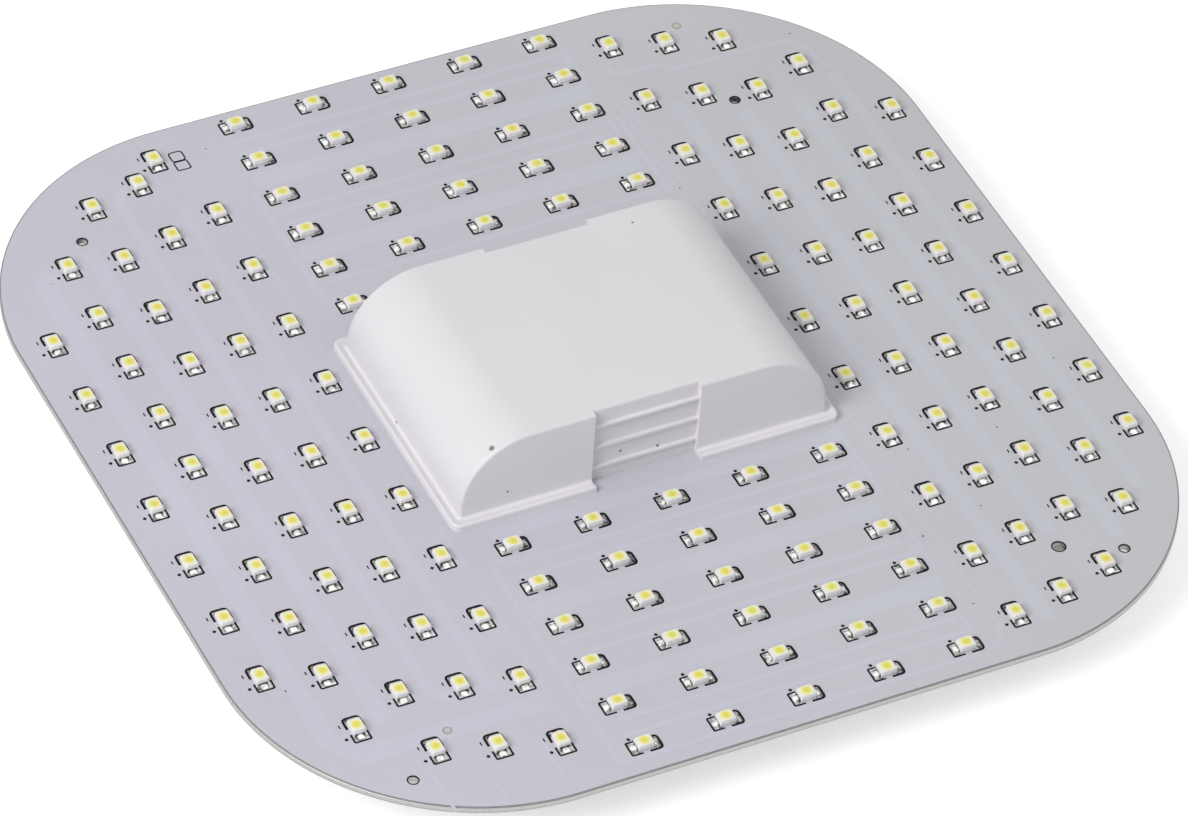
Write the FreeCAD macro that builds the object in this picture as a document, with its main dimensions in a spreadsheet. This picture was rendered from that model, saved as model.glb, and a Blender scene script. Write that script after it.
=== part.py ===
# Square four-pin lamp with light chips on an aluminium board and a driver in the middle housing.
# Millimetres, +Z towards the light side, +X along the chip rows, +Y towards the back.
# The origin is the middle of the rear base's rim, on the surface that the lamp rests on.

import FreeCAD
import Part
import Sketcher

import os

# Named sizes: alias, value, meaning

SIZES = [
    ("board_side", 204.0, "side of the square light board"),
    ("board_thick", 1.6, "thickness of the light board"),
    ("board_corner", 52.0, "corner radius of the light board"),
    ("window_corner", 3.0, "corner radius of the driver window"),
    ("window_gap", 2.0, "driver window round the driver board, left, front and back"),
    ("window_lead_gap", 10.0, "driver window right of the driver board, for the output leads"),
    ("hole_small", 2.4, "diameter of the small tooling holes"),
    ("hole_large", 3.0, "diameter of the large tooling hole"),
    ("hole_back_left_side", 24.9, "tooling hole from the left edge"),
    ("hole_back_left_end", 25.7, "tooling hole from the back edge"),
    ("hole_back_right_side", 35.0, "tooling hole from the right edge"),
    ("hole_back_right_end", 36.0, "tooling hole from the back edge"),
    ("hole_front_left_side", 23.5, "tooling hole from the left edge"),
    ("hole_front_left_end", 15.3, "tooling hole from the front edge"),
    ("hole_front_right_side", 23.4, "tooling hole from the right edge"),
    ("hole_front_right_end", 19.0, "tooling hole from the front edge"),
    ("hole_large_side", 35.3, "large tooling hole from the right edge"),
    ("hole_large_end", 24.4, "large tooling hole from the front edge"),
    ("chip_length", 3.5, "light chip, along its terminals"),
    ("chip_width", 2.8, "light chip, across its terminals"),
    ("chip_height", 1.5, "light chip, body height"),
    ("chip_draft", 0.12, "how far each side of a chip leans in at its top"),
    ("phosphor_radius", 1.2, "phosphor fill of a chip"),
    ("phosphor_rise", 0.06, "how far the phosphor fill stands above the chip"),
    ("solder_length", 1.1, "solder fillet at a chip's end, along the board"),
    ("solder_height", 0.7, "solder fillet at a chip's end, up the body"),
    ("solder_width", 2.3, "solder fillet across the chip"),
    ("row_chip_pitch", 17.5, "from chip to chip in a front or back row"),
    ("row_shift", 1.4, "middle of the front and back rows from the board's middle"),
    ("back_row_edge", 4.8, "outermost back row from the board's edge"),
    ("back_row_cover", 9.35, "innermost back row from the cover's flange"),
    ("front_row_edge", 6.8, "outermost front row from the board's edge"),
    ("front_row_cover", 7.35, "innermost front row from the cover's flange"),
    ("left_column_edge", 7.4, "outermost left column from the board's edge"),
    ("left_column_cover", 5.2, "innermost left column from the cover's flange"),
    ("right_column_edge", 5.6, "outermost right column from the board's edge"),
    ("right_column_cover", 6.8, "innermost right column from the cover's flange"),
    ("odd_chip_side", 48.2, "single chip from the board's left edge"),
    ("odd_chip_end", 8.7, "single chip from the board's back edge"),
    ("flange_step_x", 2.1, "cover flange beyond the cover, along X"),
    ("flange_step_y", 2.35, "cover flange beyond the cover, along Y"),
    ("flange_thick", 1.5, "cover flange thickness"),
    ("flange_corner", 1.8, "corner radius of the cover flange"),
    ("flange_lip", 0.5, "rounding of the flange's upper edge"),
    ("flange_root", 1.0, "hollow rounding between flange and cover"),
    ("cover_margin_x", 10.75, "cover beyond the driver window, along X"),
    ("cover_margin_y", 4.9, "cover beyond the driver window, along Y"),
    ("cover_height", 18.6, "cover above the board"),
    ("cover_draft", 0.5, "how far each cover wall leans in at the top"),
    ("shoulder_radius", 15.0, "round shoulders of the cover"),
    ("end_edge", 0.7, "rounding of the cover's end edges"),
    ("cover_wall", 2.0, "wall of the cover"),
    ("grip_width", 23.4, "finger grip, along X"),
    ("grip_depth", 1.4, "finger grip, into the end wall"),
    ("grip_wall", 1.4, "wall behind the finger grip"),
    ("rib_first", 3.0, "underside of the lowest rib above the board"),
    ("rib_pitch", 5.4, "from rib to rib"),
    ("rib_height", 0.9, "height of a rib"),
    ("rib_depth", 0.8, "how far a rib stands out"),
    ("base_depth", 12.4, "rear base behind the board"),
    ("base_wall", 2.0, "wall and floor of the rear base"),
    ("base_draft", 0.8, "how far each rear base wall leans in at the rim"),
    ("base_corner", 4.0, "corner radius of the rear base"),
    ("base_rim", 1.0, "rounding of the rear base's rim"),
    ("socket_length", 26.0, "sunk pin socket, along X"),
    ("socket_width", 17.0, "sunk pin socket, along Y"),
    ("socket_wall", 1.6, "wall round and over the pin socket"),
    ("pin_spacing_x", 10.0, "contact pins, along X"),
    ("pin_spacing_y", 8.0, "contact pins, along Y"),
    ("pin_radius", 1.2, "contact pin"),
    ("pin_length", 7.0, "contact pin below the socket's roof"),
    ("pin_tip", 0.4, "chamfer of a pin's tip"),
    ("pin_neck", 0.9, "contact pin where it passes the roof"),
    ("pin_tail", 0.5, "contact pin's solder tail"),
    ("tail_rise", 0.8, "solder tail above the driver board"),
    ("screw_inset_x", 5.25, "cover screws from the cover's outside, along X"),
    ("screw_inset_y", 6.9, "cover screws from the cover's outside, along Y"),
    ("screw_radius", 1.45, "cover screw shank"),
    ("screw_length", 17.5, "cover screw below its head"),
    ("screw_head", 2.8, "cover screw head radius"),
    ("screw_head_height", 2.0, "cover screw head height"),
    ("screw_head_crown", 0.8, "sloping part of a cover screw's head, along the screw"),
    ("screw_head_slope", 0.85, "sloping part of a cover screw's head, towards the middle"),
    ("screw_clearance", 0.25, "play round a screw in a through hole"),
    ("screw_seat", 4.0, "depth of the screw wells in the rear base"),
    ("well_clearance", 0.5, "play round a screw head in its well"),
    ("boss_radius", 4.2, "screw bosses"),
    ("boss_height", 9.5, "screw bosses of the cover"),
    ("boss_bore", 8.5, "depth of the bore in a cover boss"),
    ("driver_length", 48.0, "driver board, along X"),
    ("driver_width", 40.0, "driver board, along Y"),
    ("driver_thick", 1.6, "driver board thickness"),
    ("driver_sink", 1.2, "driver board's back behind the light board's back"),
    ("driver_gap", 0.6, "driver board above the socket's roof"),
    ("post_inset", 4.0, "posts from the driver board's edges"),
    ("post_radius", 2.6, "posts under the driver board"),
    ("post_screw", 1.2, "driver screw shank radius"),
    ("post_screw_length", 7.0, "driver screw below its head"),
    ("post_screw_head", 2.2, "driver screw head radius"),
    ("post_screw_head_height", 1.5, "driver screw head height"),
    ("post_screw_crown", 0.6, "sloping part of a driver screw's head, along the screw"),
    ("post_screw_slope", 0.65, "sloping part of a driver screw's head, towards the middle"),
    ("can_radius", 4.0, "electrolytic capacitors"),
    ("can_height", 11.0, "electrolytic capacitors"),
    ("can_groove", 0.35, "groove round a capacitor"),
    ("can_groove_foot", 1.55, "groove from the foot of a capacitor"),
    ("can_groove_height", 0.9, "height of the groove"),
    ("input_can_side", 5.5, "input capacitor from the driver board's left edge"),
    ("input_can_y", -4.9, "input capacitor"),
    ("output_can_side", 6.0, "output capacitor from the driver board's right edge"),
    ("output_can_end", 12.5, "output capacitor from the driver board's back edge"),
    ("film_length", 13.0, "film capacitor, along X"),
    ("film_width", 5.0, "film capacitor, along Y"),
    ("film_height", 10.5, "film capacitor"),
    ("film_side", 8.0, "film capacitor from the driver board's left edge"),
    ("film_end", 5.0, "film capacitor from the driver board's front edge"),
    ("core_length", 13.0, "transformer core, along X"),
    ("core_width", 5.0, "transformer core, along Y"),
    ("core_height", 11.5, "transformer core"),
    ("core_leg", 2.4, "outer legs and yokes of the core"),
    ("core_middle", 3.6, "middle leg of the core"),
    ("transformer_side", 10.5, "transformer from the driver board's left edge"),
    ("transformer_end", 9.0, "transformer from the driver board's back edge"),
    ("bobbin_wall", 0.6, "bobbin flanges and tube"),
    ("bobbin_radius", 4.0, "bobbin flanges"),
    ("winding_radius", 3.7, "transformer winding"),
    ("bridge_length", 8.3, "bridge rectifier, along X"),
    ("bridge_width", 6.4, "bridge rectifier, along Y"),
    ("bridge_height", 3.2, "bridge rectifier"),
    ("bridge_side", 19.5, "bridge rectifier from the driver board's left edge"),
    ("bridge_end", 5.5, "bridge rectifier from the driver board's front edge"),
    ("fuse_radius", 1.6, "fuse resistor"),
    ("fuse_length", 8.0, "fuse resistor, along Y"),
    ("fuse_side", 11.5, "fuse resistor from the driver board's right edge"),
    ("fuse_end", 6.5, "fuse resistor from the driver board's front edge"),
    ("absorber_radius", 3.0, "surge absorber disc"),
    ("absorber_thick", 3.0, "surge absorber disc"),
    ("absorber_side", 13.2, "surge absorber from the driver board's left edge"),
    ("absorber_y", 1.0, "surge absorber"),
    ("choke_radius", 3.5, "filter choke"),
    ("choke_height", 8.0, "filter choke"),
    ("choke_waist", 0.6, "waist of the filter choke"),
    ("choke_rim", 1.2, "straight rims of the filter choke"),
    ("choke_slope", 0.8, "slopes from the rims to the waist"),
    ("choke_side", 5.5, "filter choke from the driver board's right edge"),
    ("choke_y", -4.5, "filter choke"),
    ("control_length", 4.9, "control chip, along X"),
    ("control_width", 3.9, "control chip, along Y"),
    ("control_height", 1.5, "control chip"),
    ("control_side", 20.5, "control chip from the driver board's left edge"),
    ("control_end", 9.5, "control chip from the driver board's back edge"),
    ("diode_length", 4.3, "output diode, along X"),
    ("diode_width", 2.6, "output diode, along Y"),
    ("diode_height", 2.2, "output diode"),
    ("diode_side", 20.5, "output diode from the driver board's left edge"),
    ("diode_end", 3.5, "output diode from the driver board's back edge"),
    ("lead_radius", 0.7, "output leads"),
    ("lead_rise", 3.2, "straight foot of a lead on the driver board"),
    ("lead_start_inset", 1.5, "output leads from the driver board's right edge"),
    ("lead_end_gap", 4.5, "output leads on the light board from the driver window"),
    ("lead_spacing", 3.0, "from lead to lead"),
]

# Chips in each side column, from the innermost outwards:
# how far its backmost chip is from the back edge and its frontmost from the front edge

COLUMN_ENDS = [
    ("left_1_back", 28.2), ("left_1_front", 13.6),
    ("left_2_back", 14.2), ("left_2_front", 17.3),
    ("left_3_back", 17.5), ("left_3_front", 20.7),
    ("left_4_back", 32.2), ("left_4_front", 31.6),
    ("left_5_back", 52.0), ("left_5_front", 50.9),
    ("right_1_back", 11.0), ("right_1_front", 10.9),
    ("right_2_back", 14.2), ("right_2_front", 13.3),
    ("right_3_back", 17.8), ("right_3_front", 16.7),
    ("right_4_back", 30.8), ("right_4_front", 30.9),
    ("right_5_back", 50.8), ("right_5_front", 50.0),
]
COUNTS = [
    ("left_1_chips", 10), ("left_2_chips", 11), ("left_3_chips", 11), ("left_4_chips", 10), ("left_5_chips", 7),
    ("right_1_chips", 11), ("right_2_chips", 11), ("right_3_chips", 11), ("right_4_chips", 10), ("right_5_chips", 7),
    ("columns", 5), ("rows", 6), ("row_chips", 5), ("grip_ribs", 3), ("phosphor_sides", 12),
]
HALF_TURN = 180
QUARTER_TURN = 90

doc = FreeCAD.newDocument("led_lamp")


# The sheet of sizes

def make_sheet():
    sheet = doc.addObject("Spreadsheet::Sheet", "Sizes")
    rows = SIZES + [(alias, number, alias.replace("_", " ")) for alias, number in COLUMN_ENDS + COUNTS]
    for number, (alias, value, meaning) in enumerate(rows, 1):
        sheet.set("A%d" % number, meaning)
        sheet.set("B%d" % number, str(value))
        sheet.setAlias("B%d" % number, alias)
    doc.recompute()
    return sheet


SHEET = make_sheet()


def size(alias):
    return float(SHEET.get(alias))


# Levels and shared places, as formulas on the sheet

BOARD_BACK = "Sizes.base_depth"
BOARD_FRONT = "(Sizes.base_depth + Sizes.board_thick)"
COVER_TOP = "(Sizes.base_depth + Sizes.board_thick + Sizes.cover_height)"
DRIVER_BACK = "(Sizes.base_depth - Sizes.driver_sink)"
SOCKET_ROOF = "(%s - Sizes.driver_gap)" % DRIVER_BACK
SOCKET_DEPTH = "(%s - Sizes.socket_wall)" % SOCKET_ROOF
DRIVER_FRONT = "(%s + Sizes.driver_thick)" % DRIVER_BACK
WINDOW_LENGTH = "(Sizes.driver_length + Sizes.window_gap + Sizes.window_lead_gap)"
WINDOW_WIDTH = "(Sizes.driver_width + 2 * Sizes.window_gap)"
COVER_LENGTH = "(%s + 2 * Sizes.cover_margin_x)" % WINDOW_LENGTH
COVER_WIDTH = "(%s + 2 * Sizes.cover_margin_y)" % WINDOW_WIDTH
FLANGE_LENGTH = "(%s + 2 * Sizes.flange_step_x)" % COVER_LENGTH
FLANGE_WIDTH = "(%s + 2 * Sizes.flange_step_y)" % COVER_WIDTH
SCREW_X = "(%s / 2 - Sizes.screw_inset_x)" % COVER_LENGTH
SCREW_Y = "(%s / 2 - Sizes.screw_inset_y)" % COVER_WIDTH
DRIVER_MIDDLE = "((Sizes.window_gap - Sizes.window_lead_gap) / 2)"
DRIVER_LEFT = "(%s - Sizes.driver_length / 2)" % DRIVER_MIDDLE
DRIVER_RIGHT = "(%s + Sizes.driver_length / 2)" % DRIVER_MIDDLE
DRIVER_END = "Sizes.driver_width / 2"


def value(formula):
    return float(SHEET.evalExpression(formula))


# Small makers

def place(thing, x="0", y="0", z="0"):
    for axis, formula in zip("xyz", (x, y, z)):
        thing.setExpression("Placement.Base." + axis, formula)
    return thing


def block(name, length, width, height, x="0", y="0", z="0"):
    # A box whose middle stands at x, y and whose underside is at z
    box = doc.addObject("Part::Box", name)
    box.setExpression("Length", length)
    box.setExpression("Width", width)
    box.setExpression("Height", height)
    return place(box, "%s - (%s) / 2" % (x, length), "%s - (%s) / 2" % (y, width), z)


def rod(name, radius, height, x="0", y="0", z="0"):
    cylinder = doc.addObject("Part::Cylinder", name)
    cylinder.setExpression("Radius", radius)
    cylinder.setExpression("Height", height)
    return place(cylinder, x, y, z)


def tapered_block(name, length, width, draft, height, z="0"):
    # A box whose four walls lean in by draft over its height
    wedge = doc.addObject("Part::Wedge", name)
    wedge.setExpression("Ymin", "0")
    wedge.setExpression("Ymax", height)
    for low, high, whole in (("Xmin", "Xmax", length), ("Zmin", "Zmax", width)):
        wedge.setExpression(low, "-(%s) / 2" % whole)
        wedge.setExpression(high, "(%s) / 2" % whole)
        wedge.setExpression(low.replace("min", "2min"), "-(%s) / 2 + %s" % (whole, draft))
        wedge.setExpression(high.replace("max", "2max"), "(%s) / 2 - %s" % (whole, draft))
    wedge.Placement.Rotation = FreeCAD.Rotation(FreeCAD.Vector(1, 0, 0), 90)
    return place(wedge, "0", "0", z)


def cut(name, base, tool):
    feature = doc.addObject("Part::Cut", name)
    feature.Base = base
    feature.Tool = tool
    feature.Refine = True
    return feature


def fuse(name, pieces):
    feature = doc.addObject("Part::MultiFuse", name)
    feature.Shapes = pieces
    feature.Refine = True
    return feature


def common(name, first, second):
    feature = doc.addObject("Part::Common", name)
    feature.Base = first
    feature.Tool = second
    return feature


def round_edges(name, base, radius, test):
    # Rounds every edge of base that the test picks
    doc.recompute()
    picked = [number for number, edge in enumerate(base.Shape.Edges, 1) if test(edge)]
    feature = doc.addObject("Part::Fillet", name)
    feature.Base = base
    feature.Edges = [(number, radius, radius) for number in picked]
    return feature


def near(first, second):
    return abs(first - second) < 1e-4


def upright(edge):
    # True for a straight edge along Z
    box = edge.BoundBox
    return box.ZLength > 1e-4 and box.XLength < 1e-4 and box.YLength < 1e-4


# Bodies with sketches

def new_body(name):
    return doc.addObject("PartDesign::Body", name)


def plane_of(body, role):
    return [item for item in body.Origin.OriginFeatures if item.Role == role][0]


def sketch_on(body, name, role="XY_Plane", x="0", y="0", z="0"):
    sketch = body.newObject("Sketcher::SketchObject", name)
    sketch.AttachmentSupport = [(plane_of(body, role), "")]
    sketch.MapMode = "FlatFace"
    for axis, formula in zip("xyz", (x, y, z)):
        sketch.setExpression("AttachmentOffset.Base." + axis, formula)
    return sketch


def bound(sketch, kind, *rest):
    # Adds one dimension whose last item is a formula
    number = sketch.addConstraint(Sketcher.Constraint(kind, *rest[:-1], value(rest[-1])))
    sketch.setExpression("Constraints[%d]" % number, rest[-1])


def rectangle(sketch, length, width):
    # A rectangle round the sketch's origin
    half_x = value(length) / 2
    half_y = value(width) / 2
    corners = [(-half_x, -half_y), (half_x, -half_y), (half_x, half_y), (-half_x, half_y)]
    points = [FreeCAD.Vector(x, y, 0) for x, y in corners]
    for start, end in zip(points, points[1:] + points[:1]):
        sketch.addGeometry(Part.LineSegment(start, end), False)
    for number in range(4):
        sketch.addConstraint(Sketcher.Constraint("Coincident", number, 2, (number + 1) % 4, 1))
        side = "Vertical" if number % 2 else "Horizontal"
        sketch.addConstraint(Sketcher.Constraint(side, number))
    sketch.addConstraint(Sketcher.Constraint("Symmetric", 0, 1, 1, 2, -1, 1))
    bound(sketch, "DistanceX", 0, 1, 0, 2, length)
    bound(sketch, "DistanceY", 1, 1, 1, 2, width)


def circle(sketch, x, y, radius):
    centre = FreeCAD.Vector(value(x), value(y), 0)
    number = sketch.addGeometry(Part.Circle(centre, FreeCAD.Vector(0, 0, 1), value(radius)), False)
    bound(sketch, "Radius", number, radius)
    bound(sketch, "DistanceX", -1, 1, number, 3, x)
    bound(sketch, "DistanceY", -1, 1, number, 3, y)


def outline(sketch, corners):
    # A closed polygon whose corners are pairs of formulas
    points = [FreeCAD.Vector(value(x), value(y), 0) for x, y in corners]
    for start, end in zip(points, points[1:] + points[:1]):
        sketch.addGeometry(Part.LineSegment(start, end), False)
    for number, (x, y) in enumerate(corners):
        last = (number - 1) % len(corners)
        sketch.addConstraint(Sketcher.Constraint("Coincident", last, 2, number, 1))
        bound(sketch, "DistanceX", -1, 1, number, 1, x)
        bound(sketch, "DistanceY", -1, 1, number, 1, y)


def pad(body, name, sketch, length):
    feature = body.newObject("PartDesign::Pad", name)
    feature.Profile = sketch
    feature.setExpression("Length", length)
    return feature


def pocket_through(body, name, sketch):
    feature = body.newObject("PartDesign::Pocket", name)
    feature.Profile = sketch
    feature.Type = "ThroughAll"
    feature.Midplane = True
    return feature


def corner_fillet(body, name, base, radius, picked):
    feature = body.newObject("PartDesign::Fillet", name)
    feature.Base = (base, ["Edge%d" % number for number in picked])
    feature.setExpression("Radius", radius)
    return feature


def turned(name, corners):
    # A body turned about Z from an outline in X and Z
    body = new_body(name)
    sketch = sketch_on(body, name + "_outline", "XZ_Plane")
    outline(sketch, corners)
    feature = body.newObject("PartDesign::Revolution", name + "_turning")
    feature.Profile = sketch
    feature.ReferenceAxis = (sketch, ["V_Axis"])
    feature.Angle = 360.0
    return body


def copies(label, master, places):
    # A group of separate solids: the master at each place, turned by degrees about Z
    doc.recompute()
    shapes = []
    for x, y, z, degrees in places:
        turn = FreeCAD.Rotation(FreeCAD.Vector(0, 0, 1), degrees)
        shape = master.Shape.copy()
        shape.Placement = FreeCAD.Placement(FreeCAD.Vector(x, y, z), turn).multiply(shape.Placement)
        shapes.append(shape)
    group = doc.addObject("Part::Feature", label)
    group.Shape = Part.makeCompound(shapes)
    return group


PARTS = {}
CORNERS = [("", ""), ("-", ""), ("", "-"), ("-", "-")]


def keep(label, thing):
    thing.Label = label
    PARTS[label] = thing
    return thing


# Light board

def make_light_board():
    body = new_body("light_board")
    outer = sketch_on(body, "board_outline", z=BOARD_BACK)
    rectangle(outer, "Sizes.board_side", "Sizes.board_side")
    plate = pad(body, "board_plate", outer, "Sizes.board_thick")
    doc.recompute()
    corners = [number for number, edge in enumerate(plate.Shape.Edges, 1) if upright(edge)]
    corner_fillet(body, "board_corners", plate, "Sizes.board_corner", corners)
    window = sketch_on(body, "window_outline", z=BOARD_BACK)
    rectangle(window, WINDOW_LENGTH, WINDOW_WIDTH)
    opening = pocket_through(body, "driver_window", window)
    doc.recompute()
    half_x = value(WINDOW_LENGTH) / 2
    corners = [number for number, edge in enumerate(opening.Shape.Edges, 1)
               if upright(edge) and near(abs(edge.BoundBox.XMin), half_x)]
    corner_fillet(body, "window_corners", opening, "Sizes.window_corner", corners)
    holes = sketch_on(body, "board_holes", z=BOARD_BACK)
    for hole, sign_x, sign_y, bore in (("back_left", "-", "", "small"), ("back_right", "", "", "small"),
                                       ("front_left", "-", "-", "small"), ("front_right", "", "-", "small"),
                                       ("large", "", "-", "large")):
        circle(holes, "%s(Sizes.board_side / 2 - Sizes.hole_%s_side)" % (sign_x, hole),
               "%s(Sizes.board_side / 2 - Sizes.hole_%s_end)" % (sign_y, hole), "Sizes.hole_%s / 2" % bore)
    for sign_x in ("-", ""):
        for sign_y in ("-", ""):
            circle(holes, sign_x + SCREW_X, sign_y + SCREW_Y, "Sizes.screw_radius + Sizes.screw_clearance")
    pocket_through(body, "board_drilling", holes)
    keep("aluminium_board", body)


# Light chips, in four fields

def side_places(side, sign):
    # Chips of the side columns stand with their length along Y, spread between the end places
    half = size("board_side") / 2
    inner = value(FLANGE_LENGTH) / 2 + size(side + "_column_cover")
    outer = half - size(side + "_column_edge")
    columns = int(size("columns"))
    places = []
    for number in range(columns):
        column = "%s_%d" % (side, number + 1)
        x = sign * (inner + (outer - inner) * number / (columns - 1))
        back = half - size(column + "_back")
        front = size(column + "_front") - half
        count = int(size(column + "_chips"))
        places += [(x, back + (front - back) * chip / (count - 1)) for chip in range(count)]
    return places


def row_places(side, sign):
    # Chips of the front and back rows stand with their length along X
    inner = value(FLANGE_WIDTH) / 2 + size(side + "_row_cover")
    outer = size("board_side") / 2 - size(side + "_row_edge")
    rows = int(size("rows"))
    count = int(size("row_chips"))
    places = []
    for row in range(rows):
        y = sign * (inner + (outer - inner) * row / (rows - 1))
        places += [(size("row_shift") + (chip - (count - 1) / 2) * size("row_chip_pitch"), y)
                   for chip in range(count)]
    return places


def make_chips():
    body = tapered_block("chip_body", "Sizes.chip_length", "Sizes.chip_width", "Sizes.chip_draft",
                         "Sizes.chip_height")
    phosphor = doc.addObject("Part::Prism", "chip_phosphor")
    phosphor.Polygon = int(size("phosphor_sides"))
    phosphor.setExpression("Circumradius", "Sizes.phosphor_radius")
    phosphor.setExpression("Height", "Sizes.phosphor_rise")
    place(phosphor, z="Sizes.chip_height")
    fillet = new_body("chip_solder")
    section = sketch_on(fillet, "solder_section", "XZ_Plane", z="-Sizes.solder_width / 2")
    wall = "(Sizes.chip_length / 2 - Sizes.chip_draft * Sizes.solder_height / Sizes.chip_height)"
    outline(section, [("Sizes.chip_length / 2", "0"),
                      ("Sizes.chip_length / 2 + Sizes.solder_length", "0"),
                      (wall, "Sizes.solder_height")])
    pad(fillet, "solder_wedge", section, "Sizes.solder_width")
    left = side_places("left", -1)
    left.append((size("odd_chip_side") - size("board_side") / 2, size("board_side") / 2 - size("odd_chip_end")))
    fields = {
        "left": (left, QUARTER_TURN),
        "right": (side_places("right", 1), QUARTER_TURN),
        "front": (row_places("front", -1), 0),
        "back": (row_places("back", 1), 0),
    }
    level = value(BOARD_FRONT)
    for field, (spots, degrees) in fields.items():
        places = [(x, y, level, degrees) for x, y in spots]
        ends = places + [(x, y, z, turn + HALF_TURN) for x, y, z, turn in places]
        keep("led_bodies_" + field, copies("bodies_" + field, body, places))
        keep("led_windows_" + field, copies("windows_" + field, phosphor, places))
        keep("led_terminals_" + field, copies("terminals_" + field, fillet, ends))


# Housing cover: a hollow moulding with round shoulders and ribbed finger grips

def shouldered_block(name, length, width, height, radius):
    # A tapered block on the board's front whose two long top edges are rounded
    base = tapered_block(name + "_block", length, width, "Sizes.cover_draft", height, BOARD_FRONT)
    top = value(BOARD_FRONT) + value(height)
    side = value(length) / 2 - size("cover_draft")

    def long_top_edge(edge):
        box = edge.BoundBox
        return near(box.ZMin, top) and near(box.ZMax, top) and near(abs(box.XMin), side) and near(box.XLength, 0)

    return round_edges(name, base, radius, long_top_edge)


def make_cover():
    flange = block("flange_plate", FLANGE_LENGTH, FLANGE_WIDTH, "Sizes.flange_thick",
                   z=BOARD_FRONT)
    flange = round_edges("flange_corners", flange, size("flange_corner"), upright)
    level = value(BOARD_FRONT) + size("flange_thick")
    flange = round_edges("flange_lip", flange, size("flange_lip"),
                         lambda edge: near(edge.BoundBox.ZMin, level) and near(edge.BoundBox.ZMax, level))
    shell = shouldered_block("cover_outside", COVER_LENGTH, COVER_WIDTH,
                             "Sizes.cover_height", size("shoulder_radius"))
    end = value(BOARD_FRONT)
    half_y = value(COVER_WIDTH) / 2 - 2 * size("cover_draft")

    def end_edge(edge):
        # The edges round both end faces, but not those that stand on the board
        box = edge.BoundBox
        return box.ZMax > end + size("flange_thick") and min(abs(box.YMin), abs(box.YMax)) > half_y

    shell = round_edges("cover_ends", shell, size("end_edge"), end_edge)
    body = fuse("cover_with_flange", [shell, flange])
    inside_x = value(COVER_LENGTH) / 2
    inside_y = value(COVER_WIDTH) / 2

    def root_edge(edge):
        # The edges where the cover rises out of the flange
        box = edge.BoundBox
        flat = near(box.ZMin, level) and near(box.ZMax, level)
        return flat and box.XMax < inside_x and box.XMin > -inside_x and abs(box.YMin) < inside_y

    body = round_edges("cover_root", body, size("flange_root"), root_edge)
    grip_core = tapered_block("grip_core", COVER_LENGTH, COVER_WIDTH + " - 2 * Sizes.grip_depth",
                              "Sizes.cover_draft", "Sizes.cover_height", BOARD_FRONT)
    grip_block = block("grip_block", "Sizes.grip_width", "2 * " + FLANGE_WIDTH,
                       "Sizes.cover_height", z=BOARD_FRONT)
    body = cut("cover_with_grips", body, cut("grip_tool", grip_block, grip_core))
    rib_core = tapered_block("rib_core", COVER_LENGTH,
                             COVER_WIDTH + " - 2 * Sizes.grip_depth + 2 * Sizes.rib_depth",
                             "Sizes.cover_draft", "Sizes.cover_height", BOARD_FRONT)
    ribs = []
    for number in range(int(size("grip_ribs"))):
        level = "%s + Sizes.rib_first + %d * Sizes.rib_pitch" % (BOARD_FRONT, number)
        strip = block("rib_strip_%d" % number, "Sizes.grip_width", COVER_WIDTH,
                      "Sizes.rib_height", z=level)
        ribs.append(common("rib_%d" % number, strip, rib_core))
    body = fuse("cover_with_ribs", [body] + ribs)
    body = cut("cover_hollow", body, make_hollow())
    bosses = []
    bores = []
    for number, (sign_x, sign_y) in enumerate(CORNERS):
        x = sign_x + SCREW_X
        y = sign_y + SCREW_Y
        bosses.append(rod("boss_%d" % number, "Sizes.boss_radius", "Sizes.boss_height", x, y, BOARD_FRONT))
        bores.append(rod("boss_bore_%d" % number, "Sizes.screw_radius", "Sizes.boss_bore", x, y, BOARD_FRONT))
    inside = common("bosses_inside", fuse("bosses", bosses), shell)
    body = fuse("cover_with_bosses", [body, inside])
    keep("housing_cover", cut("cover", body, fuse("bores", bores)))


def make_hollow():
    # The space inside the cover, which steps in behind each finger grip
    inside = shouldered_block("hollow_block", COVER_LENGTH + " - 2 * Sizes.cover_wall",
                              COVER_WIDTH + " - 2 * Sizes.cover_wall",
                              "Sizes.cover_height - Sizes.cover_wall",
                              size("shoulder_radius") - size("cover_wall"))
    backing_core = tapered_block("backing_core", COVER_LENGTH,
                                 COVER_WIDTH + " - 2 * Sizes.grip_depth - 2 * Sizes.grip_wall",
                                 "Sizes.cover_draft", "Sizes.cover_height", BOARD_FRONT)
    backing_block = block("backing_block", "Sizes.grip_width + 2 * Sizes.grip_wall", FLANGE_WIDTH,
                          "Sizes.cover_height", z=BOARD_FRONT)
    return cut("hollow", inside, cut("grip_backing", backing_block, backing_core))


# Rear base: an open tub against the board's back, with a sunk pin socket

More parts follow.
